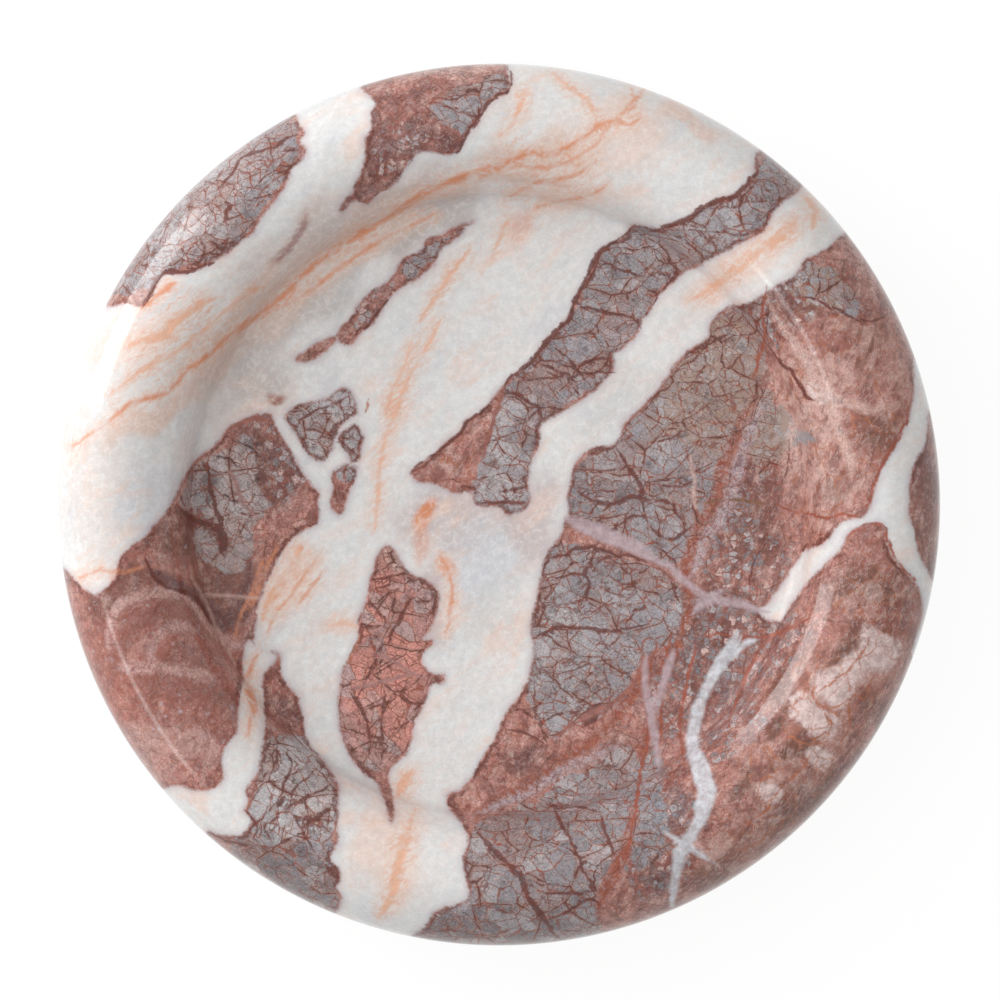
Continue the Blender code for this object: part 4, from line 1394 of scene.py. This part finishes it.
def felt_disc(number):
    """One punched disc, with its edge a little wavy, bulging and rounded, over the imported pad's place."""
    low, high = (np.array(corner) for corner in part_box(f"felt_pad_{number}"))
    middle_x, middle_y = (low[:2] + high[:2]) / 2
    radius = (high[0] - low[0]) / 2
    thick = high[2] - low[2]
    inner = radius - FELT_EDGE_ROUND - FELT_BULGE
    face = [inner * (i + 1) / FELT_FACE_RINGS for i in range(FELT_FACE_RINGS)]
    profile = [(r, thick) for r in face]
    for i in range(1, FELT_SIDE_RINGS):
        share = i / FELT_SIDE_RINGS
        swing = math.sin(math.pi * share)
        profile.append((inner + FELT_EDGE_ROUND * swing**0.5 + FELT_BULGE * swing, thick * (1 - share)))
    profile += [(r, 0) for r in reversed(face)]
    points = [(middle_x, middle_y, low[2] + thick)]
    for r, z in profile:
        for k in range(FELT_TURN_STEPS):
            angle = 2 * math.pi * k / FELT_TURN_STEPS
            wave = sum(depth * math.sin(count * angle + number) for count, depth in FELT_WAVES)
            out = r + (wave - FELT_WAVES[0][1]) * (r / inner) ** 4
            points.append((middle_x + out * math.cos(angle), middle_y + out * math.sin(angle), low[2] + z))
    points.append((middle_x, middle_y, low[2]))
    patches = ring_faces(0, 1, 1, FELT_TURN_STEPS)
    for i in range(len(profile) - 1):
        start = 1 + i * FELT_TURN_STEPS
        patches += ring_faces(start, FELT_TURN_STEPS, start + FELT_TURN_STEPS, FELT_TURN_STEPS)
    patches += ring_faces(1 + (len(profile) - 1) * FELT_TURN_STEPS, FELT_TURN_STEPS, len(points) - 1, 1)
    mesh = bpy.data.meshes.new(f"felt_disc_{number}")
    mesh.from_pydata(points, [], patches)
    mesh.shade_smooth()
    mesh.materials.append(felt)
    disc = bpy.data.objects.new(f"felt_disc_{number}", mesh)
    bpy.context.scene.collection.objects.link(disc)
    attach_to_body(disc, "root")
    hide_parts(f"felt_pad_{number}")


for number in (1, 2, 3, 4):
    felt_disc(number)

# The studio: a white table, pale walls all round, a tall softbox to the upper left and a
# slanted strip light to the lower left. The table keeps the bowl's shadow, and everything
# beyond it is plain white to the camera.
FLOOR_SIDE = 6.0
FLOOR_WHITE = 0.65
FLOOR_ROUGHNESS = 0.9
FLOOR_GLOW_SHARE = 0.8
FLOOR_DROP = 0.0001
LAMP_DISTANCE = 1.2
BOX_TURN = math.radians(151)
BOX_WIDTH = 0.64
BOX_HEIGHT = 0.80
BOX_MIDDLE_HEIGHT = 0.45
BOX_RADIANCE = 5.5
STRIP_TURN = math.radians(209)
STRIP_HEIGHT = 1.0
STRIP_TILT = math.radians(40)
STRIP_WIDTH = 0.6
STRIP_LENGTH = 0.2
STRIP_RADIANCE = 4.0
WALL_LIGHT = 0.4
CEILING_LIGHT = 0.81
CEILING_EDGE = (0.1, 0.7)
LAMP_SIDE_GAIN = 0.45
SWEEP_EDGE = (0.44, 0.5)
WHITE_GLOW = 1.13

floor_mesh = bpy.data.meshes.new("table")
side = FLOOR_SIDE / 2
floor_corners = [(x, y, -FLOOR_DROP) for x, y in ((-side, -side), (side, -side), (side, side), (-side, side))]
floor_mesh.from_pydata(floor_corners, [], [(0, 1, 2, 3)])
floor = bpy.data.objects.new("table", floor_mesh)
bpy.context.scene.collection.objects.link(floor)
table, table_shader, where = new_material("table_white")
table_shader.inputs["Base Color"].default_value = (FLOOR_WHITE, FLOOR_WHITE, FLOOR_WHITE, 1)
table_shader.inputs["Roughness"].default_value = FLOOR_ROUGHNESS
table_shader.inputs["Specular IOR Level"].default_value = 0.0
glow = where.node("ShaderNodeEmission", None, {"Color": (1, 1, 1, 1), "Strength": WHITE_GLOW})
seen = where.node("ShaderNodeLightPath", output="Is Camera Ray")
seen = seen + where.node("ShaderNodeLightPath", output="Is Glossy Ray")
mixed = where.node(
    "ShaderNodeMixShader",
    None,
    {0: seen * FLOOR_GLOW_SHARE, 1: Shade(table.node_tree, table_shader.outputs[0]), 2: glow},
)
table.node_tree.links.new(mixed.socket, table.node_tree.nodes["Material Output"].inputs["Surface"])
floor_mesh.materials.append(table)

world = bpy.data.worlds.new("studio")
world.use_nodes = True
bpy.context.scene.world = world
sky = Shade(world.node_tree)
towards = sky.node("ShaderNodeTexCoord", output="Generated")
east, north, up = (towards.node("ShaderNodeSeparateXYZ", None, {0: towards}, k) for k in range(3))
lampwards = east * math.cos(BOX_TURN) + north * math.sin(BOX_TURN)
room_light = WALL_LIGHT + up.rise(*CEILING_EDGE) * (CEILING_LIGHT - WALL_LIGHT)
room_light = room_light * (1 + lampwards * LAMP_SIDE_GAIN)
room = sky.node("ShaderNodeBackground", None, {"Color": (1, 1, 1, 1), "Strength": room_light})
plain = sky.node("ShaderNodeBackground", None, {"Color": (1, 1, 1, 1), "Strength": 1.0})
camera_ray = sky.node("ShaderNodeLightPath", output="Is Camera Ray")
sweep = sky.node("ShaderNodeLightPath", output="Is Glossy Ray") * (1 - up.rise(*SWEEP_EDGE))
backdrop = sky.node("ShaderNodeMixShader", None, {0: camera_ray.maths("MAXIMUM", sweep), 1: room, 2: plain})
world.node_tree.links.new(backdrop.socket, world.node_tree.nodes["World Output"].inputs["Surface"])

for name, turn, middle_height, tilt, width, length, radiance in (
    ("softbox", BOX_TURN, BOX_MIDDLE_HEIGHT, 0, BOX_WIDTH, BOX_HEIGHT, BOX_RADIANCE),
    ("strip", STRIP_TURN, STRIP_HEIGHT, STRIP_TILT, STRIP_WIDTH, STRIP_LENGTH, STRIP_RADIANCE),
):
    lamp = bpy.data.objects.new(name, bpy.data.lights.new(name, "AREA"))
    bpy.context.scene.collection.objects.link(lamp)
    lamp.data.shape = "RECTANGLE"
    lamp.data.size = width
    lamp.data.size_y = length
    lamp.data.energy = radiance * math.pi * width * length
    lamp.location = (LAMP_DISTANCE * math.cos(turn), LAMP_DISTANCE * math.sin(turn), middle_height)
    lamp.rotation_euler = (math.radians(90) - tilt, 0, turn + math.radians(90))

bpy.context.scene.view_settings.view_transform = "Standard"
